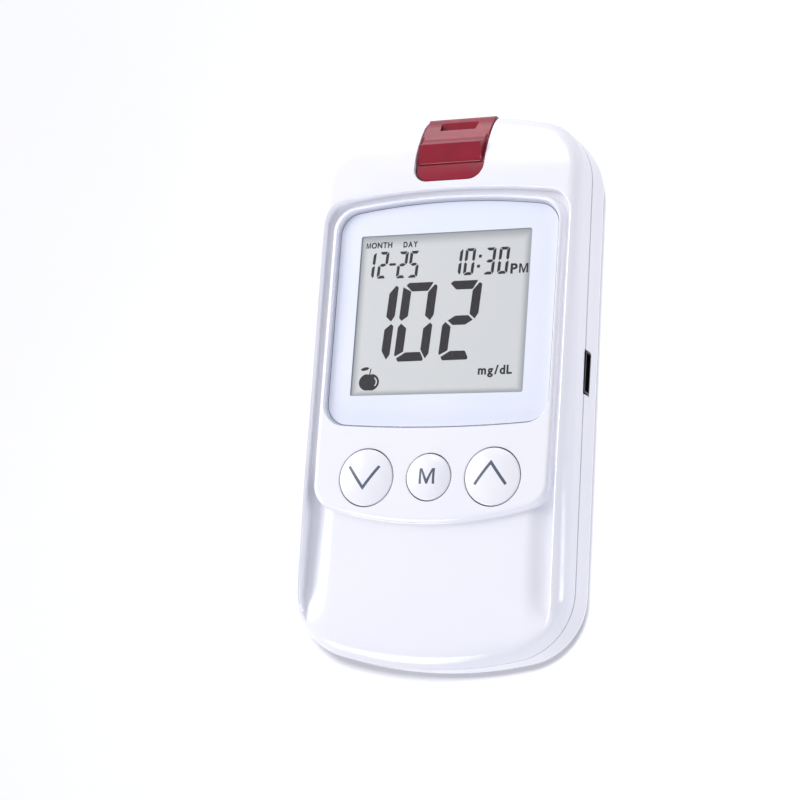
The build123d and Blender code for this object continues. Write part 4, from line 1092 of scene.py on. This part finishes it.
def makeSegments(settings):
    def leaning(x, y):
        return (x + settings["slant"] * (y - settings["slantAbout"]), y)

    def flatSurface(x, y):
        return settings["baseZ"]

    for name, (number, lefts, foot, width, height, stroke) in settings["numbers"].items():
        shape = bmesh.new()
        bars = segmentOutlines(width, height, stroke)
        ease = settings["corner"] * stroke
        for digit, left in zip(number, lefts):
            for bar in litSegments[digit]:
                addPatch(shape, [leaning(left + x, foot + y) for x, y in bars[bar]], ease)
        if name == "month":
            (x0, y0), (x1, y1) = settings["dash"]
            middle = (y0 + y1) / 2
            cut = (y1 - y0) / 2
            bar = [(x0, middle), (x0 + cut, y1), (x1 - cut, y1), (x1, middle), (x1 - cut, y0), (x0 + cut, y0)]
            addPatch(shape, [leaning(x, y) for x, y in bar], ease)
        if name == "hours":
            upper, lower, half = settings["dots"]
            for x, y in (upper, lower):
                square = ((-half, -half), (half, -half), (half, half), (-half, half))
                addPatch(shape, [leaning(x + dx, y + dy) for dx, dy in square], ease)
        mesh = printMesh(name + "Segments", shape, flatSurface, settings["thick"])
        linkPiece(name + "Segments", mesh, segmentInk, "meter", "display_film").data.shade_flat()
    shape = bmesh.new()
    for text, place in settings["words"].items():
        word = wordShape(text, *place)
        shape.from_mesh(word)
        bpy.data.meshes.remove(word)
    mesh = printMesh("displayWords", shape, flatSurface, settings["thick"])
    linkPiece("displayWords", mesh, segmentInk, "meter", "display_film").data.shade_flat()


makeSegments(segmentSettings)

mealMarkSettings = {
    "centre": (-13.35, 0.3), "halfWidth": 1.95, "halfHeight": 1.62, "z": 18.05, "thick": 0.015,
    "hollows": (0.16, 0.096, 0.28),  # depth at the stalk and at the foot, and width
    "stalk": [(-0.1, 0.78), (0.1, 0.78), (0.32, 1.5), (0.14, 1.56)],  # mm across, half heights up
    "leaf": (-0.95, 1.5, 0.78, 0.3, 0.12),  # place, as the stalk's, then half length, half width and lean
    "shine": ((0.8, 0.74), (0.68, 0.66)),  # its outer and inner line, in half widths and half heights
}


def makeMealMark(settings):
    # a plain whole apple with a stalk and a leaf, and a pale line where the light catches it
    centreX, centreY = settings["centre"]
    wide, tall = settings["halfWidth"], settings["halfHeight"]
    shape = bmesh.new()
    body = []
    atStalk, atFoot, spread = settings["hollows"]
    for i in range(64):
        a = 2 * math.pi * i / 64
        dip = (atStalk if math.sin(a) > 0 else atFoot) * math.exp(-(math.cos(a) / spread) ** 2)
        body.append((centreX + wide * math.cos(a), centreY + tall * math.sin(a) * (1 - dip)))
    fillOutline(shape, body)
    fillOutline(shape, [(centreX + x, centreY + y * tall) for x, y in settings["stalk"]])
    x, y, long, broad, lean = settings["leaf"]
    fillOutline(shape, [
        (centreX + x + long * math.cos(a), centreY + y * tall + broad * math.sin(a) + lean * math.cos(a))
        for a in [math.radians(t) for t in range(0, 360, 20)]
    ])
    bmesh.ops.scale(shape, verts=shape.verts, vec=(mm, mm, mm))
    mesh = printMesh("mealMark", shape, lambda x, y: settings["z"], settings["thick"])
    linkPiece("mealMark", mesh, segmentInk, "meter", "display_film")
    shine = bmesh.new()
    arc = [math.radians(t) for t in range(-38, 47, 6)]
    outer, inner = (
        [(centreX + x * wide * math.cos(a), centreY + y * tall * math.sin(a)) for a in arc]
        for x, y in settings["shine"]
    )
    fillOutline(shine, outer + inner[::-1])
    bmesh.ops.scale(shine, verts=shine.verts, vec=(mm, mm, mm))
    lift = settings["z"] + settings["thick"]
    mesh = printMesh("mealMarkShine", shine, lambda x, y: lift, 0.004)
    linkPiece("mealMarkShine", mesh, displayFace, "meter", "display_film")


makeMealMark(mealMarkSettings)
print("display ready")

keySettings = {
    "edgeZ": 19.5, "apexZ": 20.25, "footZ": 16.0, "edge": 0.28,
    "flange": (0.85, 0.7), "flangeEase": 0.1, "neckEase": 0.12,
    "caps": {"down": (-11.9, 5.04), "memory": (0.0, 4.08), "up": (11.9, 5.04)},  # place along X, and radius
    "y": -17.15, "ink": 0.012, "inkSinks": 0.004, "inkStep": 0.35,
    "chevron": {"halfWidth": 2.9, "height": 3.85, "stroke": 0.52, "corner": 0.08},
    "chevronShift": {"down": (-0.2, 0.0), "up": (-0.12, 0.45)},
    "letter": {"capital": 2.75, "width": 2.9, "stroke": 0.42, "lift": 0.05},
}


def capHeight(settings, radius):
    # height of a cap's crown over its axis distance
    rise = settings["apexZ"] - settings["edgeZ"]
    bow = (radius ** 2 + rise ** 2) / (2 * rise)
    return lambda distance: settings["apexZ"] - bow + math.sqrt(bow ** 2 - min(distance, radius) ** 2)


def makeKey(settings, name):
    centreX, radius = settings["caps"][name]
    centreY, edge, foot = settings["y"], settings["edge"], settings["footZ"]
    crown = capHeight(settings, radius)
    standOut, flange = settings["flange"]
    profile = [(0, crown(0))]
    profile += [(d, crown(d)) for d in [radius * i / 14 for i in range(1, 14)] if d < radius - edge]
    innerZ = crown(radius - edge)
    profile += [(radius - edge + edge * sine, innerZ - edge * fall) for sine, fall in quarterTurn(7)]
    brim, brimZ = radius + standOut, foot + flange
    ease, neck = settings["flangeEase"], settings["neckEase"]
    profile += [
        (radius, brimZ + neck), (radius + neck, brimZ), (brim - ease, brimZ), (brim, brimZ - ease),
        (brim, foot + ease), (brim - ease, foot), (0, foot),
    ]
    body = name + "_key"
    mesh = lathe(name + "KeyCap", profile, (centreX, centreY))
    piece = linkPiece(name + "KeyCap", mesh, keyAbs, body, "key_white")
    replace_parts(piece, name + "_button")
    shape = bmesh.new()
    if name == "memory":
        letter = settings["letter"]
        outline = letterM(letter["capital"], letter["width"], letter["stroke"])
        markX, markY = centreX - letter["width"] / 2, centreY - letter["capital"] / 2 + letter["lift"]
        fillOutline(shape, [(markX + x, markY + y) for x, y in outline])
        bmesh.ops.scale(shape, verts=shape.verts, vec=(mm, mm, mm))
    else:
        mark = settings["chevron"]
        point = -1 if name == "down" else 1
        half, tall, stroke = mark["halfWidth"], mark["height"] / 2, mark["stroke"]
        slope = math.hypot(half, 2 * tall)
        drop = stroke * slope / half / 2  # half the stroke's upright thickness
        across = stroke * 2 * tall / slope / 2
        lift = stroke * half / slope / 2
        outline = [
            (-half - across, lift - tall), (-half + across, -lift - tall), (0, tall - drop),
            (half - across, -lift - tall), (half + across, lift - tall), (0, tall + drop),
        ]
        shiftX, shiftY = settings["chevronShift"][name]
        markX, markY = centreX + shiftX, centreY + shiftY
        addPatch(shape, [(markX + x, markY + point * y) for x, y in outline], mark["corner"])

    def surface(x, y):
        return crown(math.hypot(x - centreX, y - centreY)) - settings["inkSinks"]

    mesh = printMesh(name + "KeyMark", shape, surface, settings["ink"], settings["inkStep"])
    linkPiece(name + "KeyMark", mesh, keyInk, body, "key_white")


for keyName in keySettings["caps"]:
    makeKey(keySettings, keyName)
print("keys ready")


def bezierPoints(controls, count):
    (x0, y0), (x1, y1), (x2, y2), (x3, y3) = controls
    points = []
    for i in range(count):
        t = i / (count - 1)
        a, b, c, d = (1 - t) ** 3, 3 * t * (1 - t) ** 2, 3 * t * t * (1 - t), t ** 3
        points.append((a * x0 + b * x1 + c * x2 + d * x3, a * y0 + b * y1 + c * y2 + d * y3))
    return points


def sliderSection(settings, case, x):
    # one slice across the slider: its outer line and its inner line, from the panel's foot to the end wall
    drop, skin, ease = settings["panelDrop"], settings["skin"], settings["ease"]
    turn = max(abs(x) - (settings["halfX"] - settings["corner"]), 0)
    start = settings["bottom"] + settings["corner"] - math.sqrt(max(settings["corner"] ** 2 - turn ** 2, 0))

    def crown(y):
        return float(crownHeight(case, y))

    ridgeFoot, ridgeTop = settings["ridgeY"]

    def plain(y):
        # the surface without the ridge
        share = min(max((y - ridgeTop) / (settings["sweepFoot"] - ridgeTop), 0), 1)
        return crown(y) - drop * (1 - share)

    outer = []
    for sine, fall in quarterTurn(6)[::-1]:
        y = start + ease * (1 - sine)
        outer.append((y, plain(y) - ease * fall))
    for i in range(1, 13):
        y = start + ease + (ridgeFoot - start - ease) * i / 12
        outer.append((y, plain(y)))
    ridge = settings["ridge"] + bezierPoints(settings["sweep"], 18)[1:]
    low, high = settings["ridgeX"]
    share = float(1 - smoothStep(abs(x), low, high))
    outer += [(y, plain(y) * (1 - share) + max(z, plain(y)) * share) for y, z in ridge]
    foot, end = settings["sweepFoot"], settings["top"]
    outer += [(y, crown(y)) for y in [foot + (end - ease - foot) * i / 16 for i in range(1, 17)]]
    endZ = outer[-1][1]
    outer += [(end - ease * (1 - sine), endZ - ease * 1.2 * fall) for sine, fall in quarterTurn(5)[1:]]
    outer.append((end, settings["footZ"]))
    innerEnd = end - skin
    inner = [(innerEnd, settings["footZ"]), (innerEnd, crown(innerEnd) - skin)]
    count = len(outer) - 3
    for i in range(1, count + 1):
        y = innerEnd + (start - innerEnd) * i / count
        inner.append((y, plain(y) - skin))
    inner.append((start, plain(start) - skin))
    side = settings["halfX"] - ease
    if abs(x) > side:  # the long edges are rounded as well
        fall = ease - math.sqrt(max(ease ** 2 - (abs(x) - side) ** 2, 0))
        outer = [(y, max(z - fall, settings["footZ"])) for y, z in outer]
    return outer, inner[::-1]


def makeSlider(settings, case):
    halfX = settings["halfX"]
    turns = [halfX - settings["corner"] * (1 - sine) for sine, _ in quarterTurn(11)]
    ends = [halfX - settings["ease"] * (1 - sine) for sine, _ in quarterTurn(6)]
    half = sorted({round(x, 4) for x in [*settings["slices"], *settings["ridgeX"]] + turns + ends})
    stations = [-x for x in half[:0:-1]] + half
    rings = []
    for x in stations:
        outer, inner = sliderSection(settings, case, x)
        rings.append([(x, y, z) for y, z in outer + inner[::-1]])
    count = len(rings[0])
    faces = []
    for k in range(len(rings) - 1):
        low, high = k * count, (k + 1) * count
        faces += [(low + i, high + i, high + (i + 1) % count, low + (i + 1) % count) for i in range(count)]
    for base in (0, (len(rings) - 1) * count):
        last = base + count - 1
        faces += [(base + i, base + i + 1, last - 1 - i, last - i) for i in range(count // 2 - 1)]
    body = solidFrom("stripSlider", np.vstack(rings), faces)
    parts = []
    (low, high), footZ, topZ = settings["legs"]
    pinX, pinY, pinRadius, pinFoot, pinTop = settings["pins"]
    ease = settings["pinEase"]
    for side in (-1, 1):
        xs = sorted((side * low[0], side * high[0]))
        parts.append(blockMesh("leg", (xs[0], low[1], footZ), (xs[1], high[1], topZ)))
        profile = [(0, pinFoot), (pinRadius - ease, pinFoot), (pinRadius, pinFoot + ease)]
        profile += [(pinRadius, pinTop), (0, pinTop)]
        parts.append(lathe("pin", profile, (side * pinX, pinY), 24))
    body = combine(body, parts, "UNION")
    (narrow, wide), (near, far), heights = settings["notch"]
    plan = np.array([(-wide, far), (-narrow, near), (narrow, near), (wide, far)])
    notch = ringSolid("notch", [level(plan, z) for z in heights])
    body = combine(body, [blockMesh("slot", *settings["slot"]), notch], "DIFFERENCE")
    body.name = "stripSlider"
    piece = linkPiece("stripSlider", body, redAbs, "ejector", "red_gloss", 38.0)
    evenShading(piece)
    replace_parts(piece, "strip_ejector")


makeSlider(sliderSettings, caseSettings)
mergedCopy("ejector_carriage", "sliderFork", whiteAcetal, "white_acetal", 0.08, 30.0)
print("slider ready")


def newTree(name, lengths, counts=()):
    # a Geometry Nodes tree with named inputs; gives the tree and the sockets that bring them in
    tree = bpy.data.node_groups.new(name, "GeometryNodeTree")
    tree.interface.new_socket("Geometry", in_out="OUTPUT", socket_type="NodeSocketGeometry")
    for kind, labels in (("Geometry", ("Geometry",)), ("Float", lengths), ("Int", counts)):
        for label in labels:
            tree.interface.new_socket(label, in_out="INPUT", socket_type="NodeSocket" + kind)
    return tree, addNode(tree, "NodeGroupInput").outputs


def closeTree(tree, geometry, *finishes):
    # real geometry with its finishes; a second finish goes where the tree marked "metalEnd"
    marked = addNode(tree, "GeometryNodeInputNamedAttribute", {"Name": "metalEnd"}, data_type="BOOLEAN")
    geometry = addNode(tree, "GeometryNodeRealizeInstances", {"Geometry": geometry})
    for finish, where in zip(finishes, (True, marked)):
        geometry = addNode(tree, "GeometryNodeSetMaterial", {
            "Geometry": geometry, "Selection": where, "Material": finish,
        })
    addNode(tree, "NodeGroupOutput", [geometry])
    return tree


def grow(name, tree, sizes, points, edges=(), place=(0, 0, 0)):
    # runs a tree on points in metres and keeps what it makes as a plain mesh
    mesh = bpy.data.meshes.new(name)
    mesh.from_pydata([tuple(c * mm for c in point) for point in points], list(edges), [])
    holder = newObject(name, mesh)
    nodes = holder.modifiers.new("grow", "NODES")
    nodes.node_group = tree
    for label, value in sizes.items():
        nodes[tree.interface.items_tree[label].identifier] = value
    made = finalMesh(holder)
    made.transform(Matrix.Translation([c * mm for c in place]))
    return made


def bentStripTree(finish):
    # sheet metal bent along the points it is given, in a row, and the row turned round Z for each side
    tree, size = newTree("bentStrip", ("Width", "Sheet", "Bend Radius", "Pitch"), ("Count", "Sides"))
    path = addNode(tree, "GeometryNodeMeshToCurve", {"Mesh": size["Geometry"]})
    bent = addNode(tree, "GeometryNodeFilletCurve", {
        "Curve": path, "Radius": size["Bend Radius"], "Limit Radius": True, "Count": 6,
    }, mode="POLY")
    section = addNode(tree, "GeometryNodeCurvePrimitiveQuadrilateral", {
        "Width": size["Width"], "Height": size["Sheet"],
    })
    edge = addNode(tree, "ShaderNodeMath", [size["Sheet"], 0.2], operation="MULTIPLY")
    broken = addNode(tree, "GeometryNodeFilletCurve", {
        "Curve": section, "Radius": edge, "Limit Radius": True, "Count": 2,
    }, mode="POLY")
    strip = addNode(tree, "GeometryNodeCurveToMesh", {
        "Curve": bent, "Profile Curve": broken, "Fill Caps": True,
    })
    gaps = addNode(tree, "ShaderNodeMath", [size["Count"], 1.0], operation="SUBTRACT")
    length = addNode(tree, "ShaderNodeMath", [gaps, size["Pitch"]], operation="MULTIPLY")
    start = addNode(tree, "ShaderNodeMath", [length, -0.5], operation="MULTIPLY")
    points = addNode(tree, "GeometryNodeMeshLine", {
        "Count": size["Count"], "Start Location": addNode(tree, "ShaderNodeCombineXYZ", [start]),
        "Offset": addNode(tree, "ShaderNodeCombineXYZ", [size["Pitch"]]),
    })
    row = addNode(tree, "GeometryNodeInstanceOnPoints", {"Points": points, "Instance": strip})
    sides = addNode(tree, "GeometryNodeMeshLine", {"Count": size["Sides"], "Offset": (0, 0, 0)})
    index = addNode(tree, "GeometryNodeInputIndex")
    whole = addNode(tree, "ShaderNodeMath", [index, 2 * math.pi], operation="MULTIPLY")
    turn = addNode(tree, "ShaderNodeMath", [whole, size["Sides"]], operation="DIVIDE")
    around = addNode(tree, "GeometryNodeInstanceOnPoints", {
        "Points": sides, "Instance": row, "Rotation": addNode(tree, "ShaderNodeCombineXYZ", {"Z": turn}),
    })
    return closeTree(tree, around, finish)


def coilTree(finish):
    # a wire coil along Y whose end turns lie closer together
    tree, size = newTree("coil", ("Radius", "Wire", "Length", "Turns"))
    coil = addNode(tree, "GeometryNodeCurveSpiral", {
        "Resolution": 40, "Rotations": size["Turns"], "Start Radius": size["Radius"],
        "End Radius": size["Radius"], "Height": size["Length"],
    })
    x, y, z = addNode(tree, "ShaderNodeSeparateXYZ", [addNode(tree, "GeometryNodeInputPosition")]).outputs
    along = addNode(tree, "ShaderNodeMapRange", {
        "Value": z, "From Max": size["Length"], "To Max": size["Length"],
    }, interpolation_type="SMOOTHSTEP")
    packed = addNode(tree, "ShaderNodeMath", [along, 0.65], operation="MULTIPLY")
    even = addNode(tree, "ShaderNodeMath", [z, 0.35, packed], operation="MULTIPLY_ADD")
    laid = addNode(tree, "GeometryNodeSetPosition", {
        "Geometry": coil, "Position": addNode(tree, "ShaderNodeCombineXYZ", [x, even, y]),
    })
    wire = addNode(tree, "GeometryNodeCurvePrimitiveCircle", {"Resolution": 12, "Radius": size["Wire"]})
    solid = addNode(tree, "GeometryNodeCurveToMesh", {
        "Curve": laid, "Profile Curve": wire, "Fill Caps": True,
    })
    return closeTree(tree, solid, finish)


def screwTree(finish):
    # cross-recessed pan-head screws with a rolled thread, head down, at each point they are given
    tree, size = newTree("crossScrew", (
        "Head Radius", "Head Height", "Core Radius", "Length",
        "Thread Pitch", "Thread Height", "Recess Width", "Recess Depth",
    ))
    face = addNode(tree, "ShaderNodeMath", [size["Head Radius"], 0.8], operation="MULTIPLY")
    head = addNode(tree, "GeometryNodeMeshCone", {
        "Vertices": 48, "Radius Top": size["Head Radius"], "Radius Bottom": face,
        "Depth": size["Head Height"],
    })
    wing = addNode(tree, "ShaderNodeMath", [size["Head Radius"], 1.15], operation="MULTIPLY")
    deep = addNode(tree, "ShaderNodeMath", [size["Recess Depth"], 2.0], operation="MULTIPLY")
    wings = []
    for x, y in ((wing, size["Recess Width"]), (size["Recess Width"], wing)):
        block = addNode(tree, "ShaderNodeCombineXYZ", [x, y, deep])
        wings.append(addNode(tree, "GeometryNodeMeshCube", {"Size": block}))
    cut = addNode(tree, "GeometryNodeMeshBoolean", {
        "Mesh 1": head, "Mesh 2": wings,
    }, operation="DIFFERENCE", solver="EXACT")
    core = addNode(tree, "GeometryNodeMeshCylinder", {
        "Vertices": 32, "Radius": size["Core Radius"], "Depth": size["Length"],
    })
    threaded = addNode(tree, "ShaderNodeMath", [size["Length"], 0.85], operation="MULTIPLY")
    path = addNode(tree, "GeometryNodeCurveSpiral", {
        "Resolution": 24, "Start Radius": size["Core Radius"], "End Radius": size["Core Radius"],
        "Rotations": addNode(tree, "ShaderNodeMath", [threaded, size["Thread Pitch"]], operation="DIVIDE"),
        "Height": threaded,
    })
    crest = addNode(tree, "GeometryNodeCurvePrimitiveCircle", {
        "Resolution": 6, "Radius": size["Thread Height"],
    })
    thread = addNode(tree, "GeometryNodeCurveToMesh", {
        "Curve": path, "Profile Curve": crest, "Fill Caps": True,
    })
    parts = [cut]
    for part, share in ((core, 0.5), (thread, 0.13)):  # each lies a share of the length behind the head
        rise = addNode(tree, "ShaderNodeMath", [
            size["Length"], share, size["Head Height"],
        ], operation="MULTIPLY_ADD")
        place = addNode(tree, "ShaderNodeCombineXYZ", {"Z": rise})
        parts.append(addNode(tree, "GeometryNodeTransform", {"Geometry": part, "Translation": place}))
    join = addNode(tree, "GeometryNodeJoinGeometry", [parts])
    screws = addNode(tree, "GeometryNodeInstanceOnPoints", {"Points": size["Geometry"], "Instance": join})
    return closeTree(tree, screws, finish)


def passiveTree(body, cap):
    # chip resistors and capacitors: a ceramic block between two tinned ends, at each point
    tree, size = newTree("chipPart", ("Length", "Width", "Height", "Cap Length"))
    whole = addNode(tree, "ShaderNodeCombineXYZ", [size["Length"], size["Width"], size["Height"]])
    inside = addNode(tree, "ShaderNodeVectorMath", [whole, (0.92, 0.92, 0.88)], operation="MULTIPLY")
    parts = [addNode(tree, "GeometryNodeMeshCube", {"Size": inside})]
    endSize = addNode(tree, "ShaderNodeCombineXYZ", [size["Cap Length"], size["Width"], size["Height"]])
    end = addNode(tree, "GeometryNodeMeshCube", {"Size": endSize})
    between = addNode(tree, "ShaderNodeMath", [size["Length"], size["Cap Length"]], operation="SUBTRACT")
    for side in (-0.5, 0.5):
        shift = addNode(tree, "ShaderNodeMath", [between, side], operation="MULTIPLY")
        place = addNode(tree, "ShaderNodeCombineXYZ", [shift])
        moved = addNode(tree, "GeometryNodeTransform", {"Geometry": end, "Translation": place})
        parts.append(addNode(tree, "GeometryNodeStoreNamedAttribute", {
            "Geometry": moved, "Name": "metalEnd", "Value": True,
        }, data_type="BOOLEAN", domain="FACE"))
    join = addNode(tree, "GeometryNodeJoinGeometry", [parts])
    half = addNode(tree, "ShaderNodeMath", [size["Height"], 0.5], operation="MULTIPLY")
    place = addNode(tree, "ShaderNodeCombineXYZ", {"Z": half})
    lifted = addNode(tree, "GeometryNodeTransform", {"Geometry": join, "Translation": place})
    chips = addNode(tree, "GeometryNodeInstanceOnPoints", {"Points": size["Geometry"], "Instance": lifted})
    return closeTree(tree, chips, body, cap)


repeatSettings = {
    "caseScrews": {
        "places": [(x, y, 6.0) for x, y in caseSettings["casePosts"][0]],
        "sizes": {
            "Head Radius": 2.0, "Head Height": 1.3, "Core Radius": 0.82, "Length": 8.9, "Thread Pitch": 0.8,
            "Thread Height": 0.17, "Recess Width": 0.55, "Recess Depth": 0.75,
        },
        "node": "case_screws", "edge": 0.14,
    },
    "boardScrews": {
        "places": [(x, y, 13.1) for x, y in caseSettings["boardPosts"][0]],
        "sizes": {
            "Head Radius": 1.6, "Head Height": 0.6, "Core Radius": 0.66, "Length": 2.6, "Thread Pitch": 0.5,
            "Thread Height": 0.13, "Recess Width": 0.42, "Recess Depth": 0.4,
        },
        "node": "board_screws", "edge": 0.08,
    },
    "contacts": {
        "path": [
            (0, 44.3, 14.78), (0, 43.7, 14.78), (0, 43.7, 15.16),
            (0, 39.2, 15.16), (0, 40.3, 15.58), (0, 41.4, 15.37),
        ],
        "sizes": {"Width": 0.6, "Sheet": 0.16, "Bend Radius": 0.14, "Pitch": 1.1}, "count": 5, "sides": 1,
    },
    "leaves": {
        "x": -5.45, "faceY": (-42.1, 5.9), "z": (3.7, 7.2, 10.7), "reach": 3.25,
        "sizes": {"Width": 4.0, "Sheet": 0.25, "Bend Radius": 0.35, "Pitch": 0.0}, "count": 1, "sides": 2,
    },
    "chip": {
        "place": (-5.5, -30.4, 14.7), "body": (7.0, 7.0, 0.12, 1.3), "edge": 0.15,
        "pin": [(0, 3.3, 0.72), (0, 3.85, 0.72), (0, 4.05, 0.09), (0, 4.5, 0.09)],
        "sizes": {"Width": 0.35, "Sheet": 0.16, "Bend Radius": 0.12, "Pitch": 0.8}, "count": 8, "sides": 4,
    },
    "coil": {
        "place": (-10.2, 34.34, 13.9), "sizes": {"Radius": 0.95, "Wire": 0.14, "Length": 6.82}, "turns": 7.0,
    },
    "passives": {
        "rows": (-35.6, -24.6), "count": 5, "pitch": 3.2, "z": 14.7, "edge": 0.04,
        "sizes": {"Length": 1.6, "Width": 0.8, "Height": 0.6, "Cap Length": 0.32},
    },
}


def inMetres(sizes):
    return {label: value * mm for label, value in sizes.items()}


def chain(points):
    return [(i, i + 1) for i in range(len(points) - 1)]


def makeRepeats(settings):
    screws = screwTree(zincSteel)
    for name in ("caseScrews", "boardScrews"):
        part = settings[name]
        mesh = grow(name, screws, inMetres(part["sizes"]), part["places"])
        piece = linkPiece(name, mesh, [], "meter", "zinc_screw")
        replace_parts(piece, part["node"])
        breakEdges(piece, part["edge"])

    def bentStrip(name, part, path, place, finish, slotName):
        sizes = {**inMetres(part["sizes"]), "Count": part["count"], "Sides": part["sides"]}
        mesh = grow(name, bentStripTree(finish), sizes, path, chain(path), place)
        return linkPiece(name, mesh, [], "meter", slotName)

    strip = settings["contacts"]
    piece = bentStrip("stripContacts", strip, strip["path"], (0, 0, 0), goldPlate, "gold_contact")
    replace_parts(piece, "strip_contacts")
    leaf = settings["leaves"]
    middle = sum(leaf["faceY"]) / 2
    face, (foot, centre, head), sheet = leaf["faceY"][0] - middle, leaf["z"], leaf["sizes"]["Sheet"]
    bends = ((sheet, foot), (sheet, head), (leaf["reach"], centre), (2 * sheet, foot + 1))
    path = [(leaf["x"], face + step, z) for step, z in bends]
    piece = bentStrip("batterySprings", leaf, path, (0, middle, 0), springSteel, "spring_steel")
    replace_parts(piece, "battery_springs")
    chip = settings["chip"]
    bentStrip("chipPins", chip, chip["pin"], chip["place"], tinnedSteel, "tinned_can")
    x, y, z = chip["place"]
    width, depth, lift, height = chip["body"]
    low, high = (x - width / 2, y - depth / 2, z + lift), (x + width / 2, y + depth / 2, z + height)
    piece = linkPiece("controlChip", blockMesh("controlChip", low, high), blackEpoxy, "meter", "black_epoxy")
    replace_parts(piece, "control_chip")
    breakEdges(piece, chip["edge"])
    coil = settings["coil"]
    sizes = {**inMetres(coil["sizes"]), "Turns": coil["turns"]}
    mesh = grow("ejectorSpring", coilTree(springSteel), sizes, [(0, 0, 0)], (), coil["place"])
    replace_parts(linkPiece("ejectorSpring", mesh, [], "meter", "spring_steel", 60.0), "ejector_spring")
    rows = settings["passives"]
    start = -(rows["count"] - 1) / 2 * rows["pitch"]
    points = [(start + i * rows["pitch"], y, rows["z"]) for y in rows["rows"] for i in range(rows["count"])]
    mesh = grow("boardComponents", passiveTree(blackEpoxy, tinnedSteel), inMetres(rows["sizes"]), points)
    piece = linkPiece("boardComponents", mesh, [], "meter", "ceramic")
    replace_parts(piece, "board_components")
    breakEdges(piece, rows["edge"])


makeRepeats(repeatSettings)
print("screws, springs, contacts and board parts ready")

innerPieces = {  # CAD node: piece name, finish, slot, broken edge in mm
    "lcd_frame": ("displayFrame", whiteAcetal, "white_acetal", 0.08),
    # the socket shell's dark finish is partly painted shade for the slot
    "usb_port": ("socketShell", socketShadeNickel, "nickel_steel", 0.04),
    "usb_tongue": ("socketTongue", blackPbt, "black_plastic", 0.05),
    "strip_connector": ("stripConnector", blackPbt, "black_plastic", 0.05),
    "battery_plates": ("batteryPlates", nickelSteel, "nickel_steel", 0.05),
    "left_cell": ("leftCell", cellSleeves["left"], "cell_can", 0.0),
    "right_cell": ("rightCell", cellSleeves["right"], "cell_can", 0.0),
    "main_board": ("mainBoard", greenMask, "green_board", 0.0),
    "radio_module": ("radioModule", tinnedSteel, "tinned_can", 0.06),
    "clock_crystal": ("clockCrystal", tinnedSteel, "tinned_can", 0.0),
    "buzzer": ("buzzerCan", blackPbt, "black_plastic", 0.1),
    "down_dome": ("downDome", siliconeRubber, "silicone", 0.0),
    "memory_dome": ("memoryDome", siliconeRubber, "silicone", 0.0),
    "up_dome": ("upDome", siliconeRubber, "silicone", 0.0),
}
for node, (pieceName, finish, slotName, edge) in innerPieces.items():
    mergedCopy(node, pieceName, finish, slotName, edge)

carriedNodes = {  # nodes whose plain shape is right: they only get their finish
    "window_adhesive": foamTape, "lcd_panel": displayGlass, "front_polariser": displayFace,
    "rear_reflector": reflectorFilm, "elastomer_connectors": zebraRubber,
    "down_contact": carbonInk, "memory_contact": carbonInk, "up_contact": carbonInk,
}
for node, finish in carriedNodes.items():
    carried = frame["nodes"][node]
    carried.data.materials.clear()
    carried.data.materials.append(finish)
print("inner pieces ready")

softSettings = {  # piece: the joint it gives way to, its axis, and in mm its fixed point, length and travel
    "downDome": ("down_press", (0, 0, 1), (-11.9, -17.15, 14.7), 1.3, 0.56),
    "memoryDome": ("memory_press", (0, 0, 1), (0, -17.15, 14.7), 1.3, 0.56),
    "upDome": ("up_press", (0, 0, 1), (11.9, -17.15, 14.7), 1.3, 0.56),
    "ejectorSpring": ("ejector_slide", (0, 1, 0), (-10.2, 41.3, 13.9), 7.1, 4.5),
}
for pieceName, (joint, axis, fixed, length, travel) in softSettings.items():
    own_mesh(bpy.data.objects[pieceName])
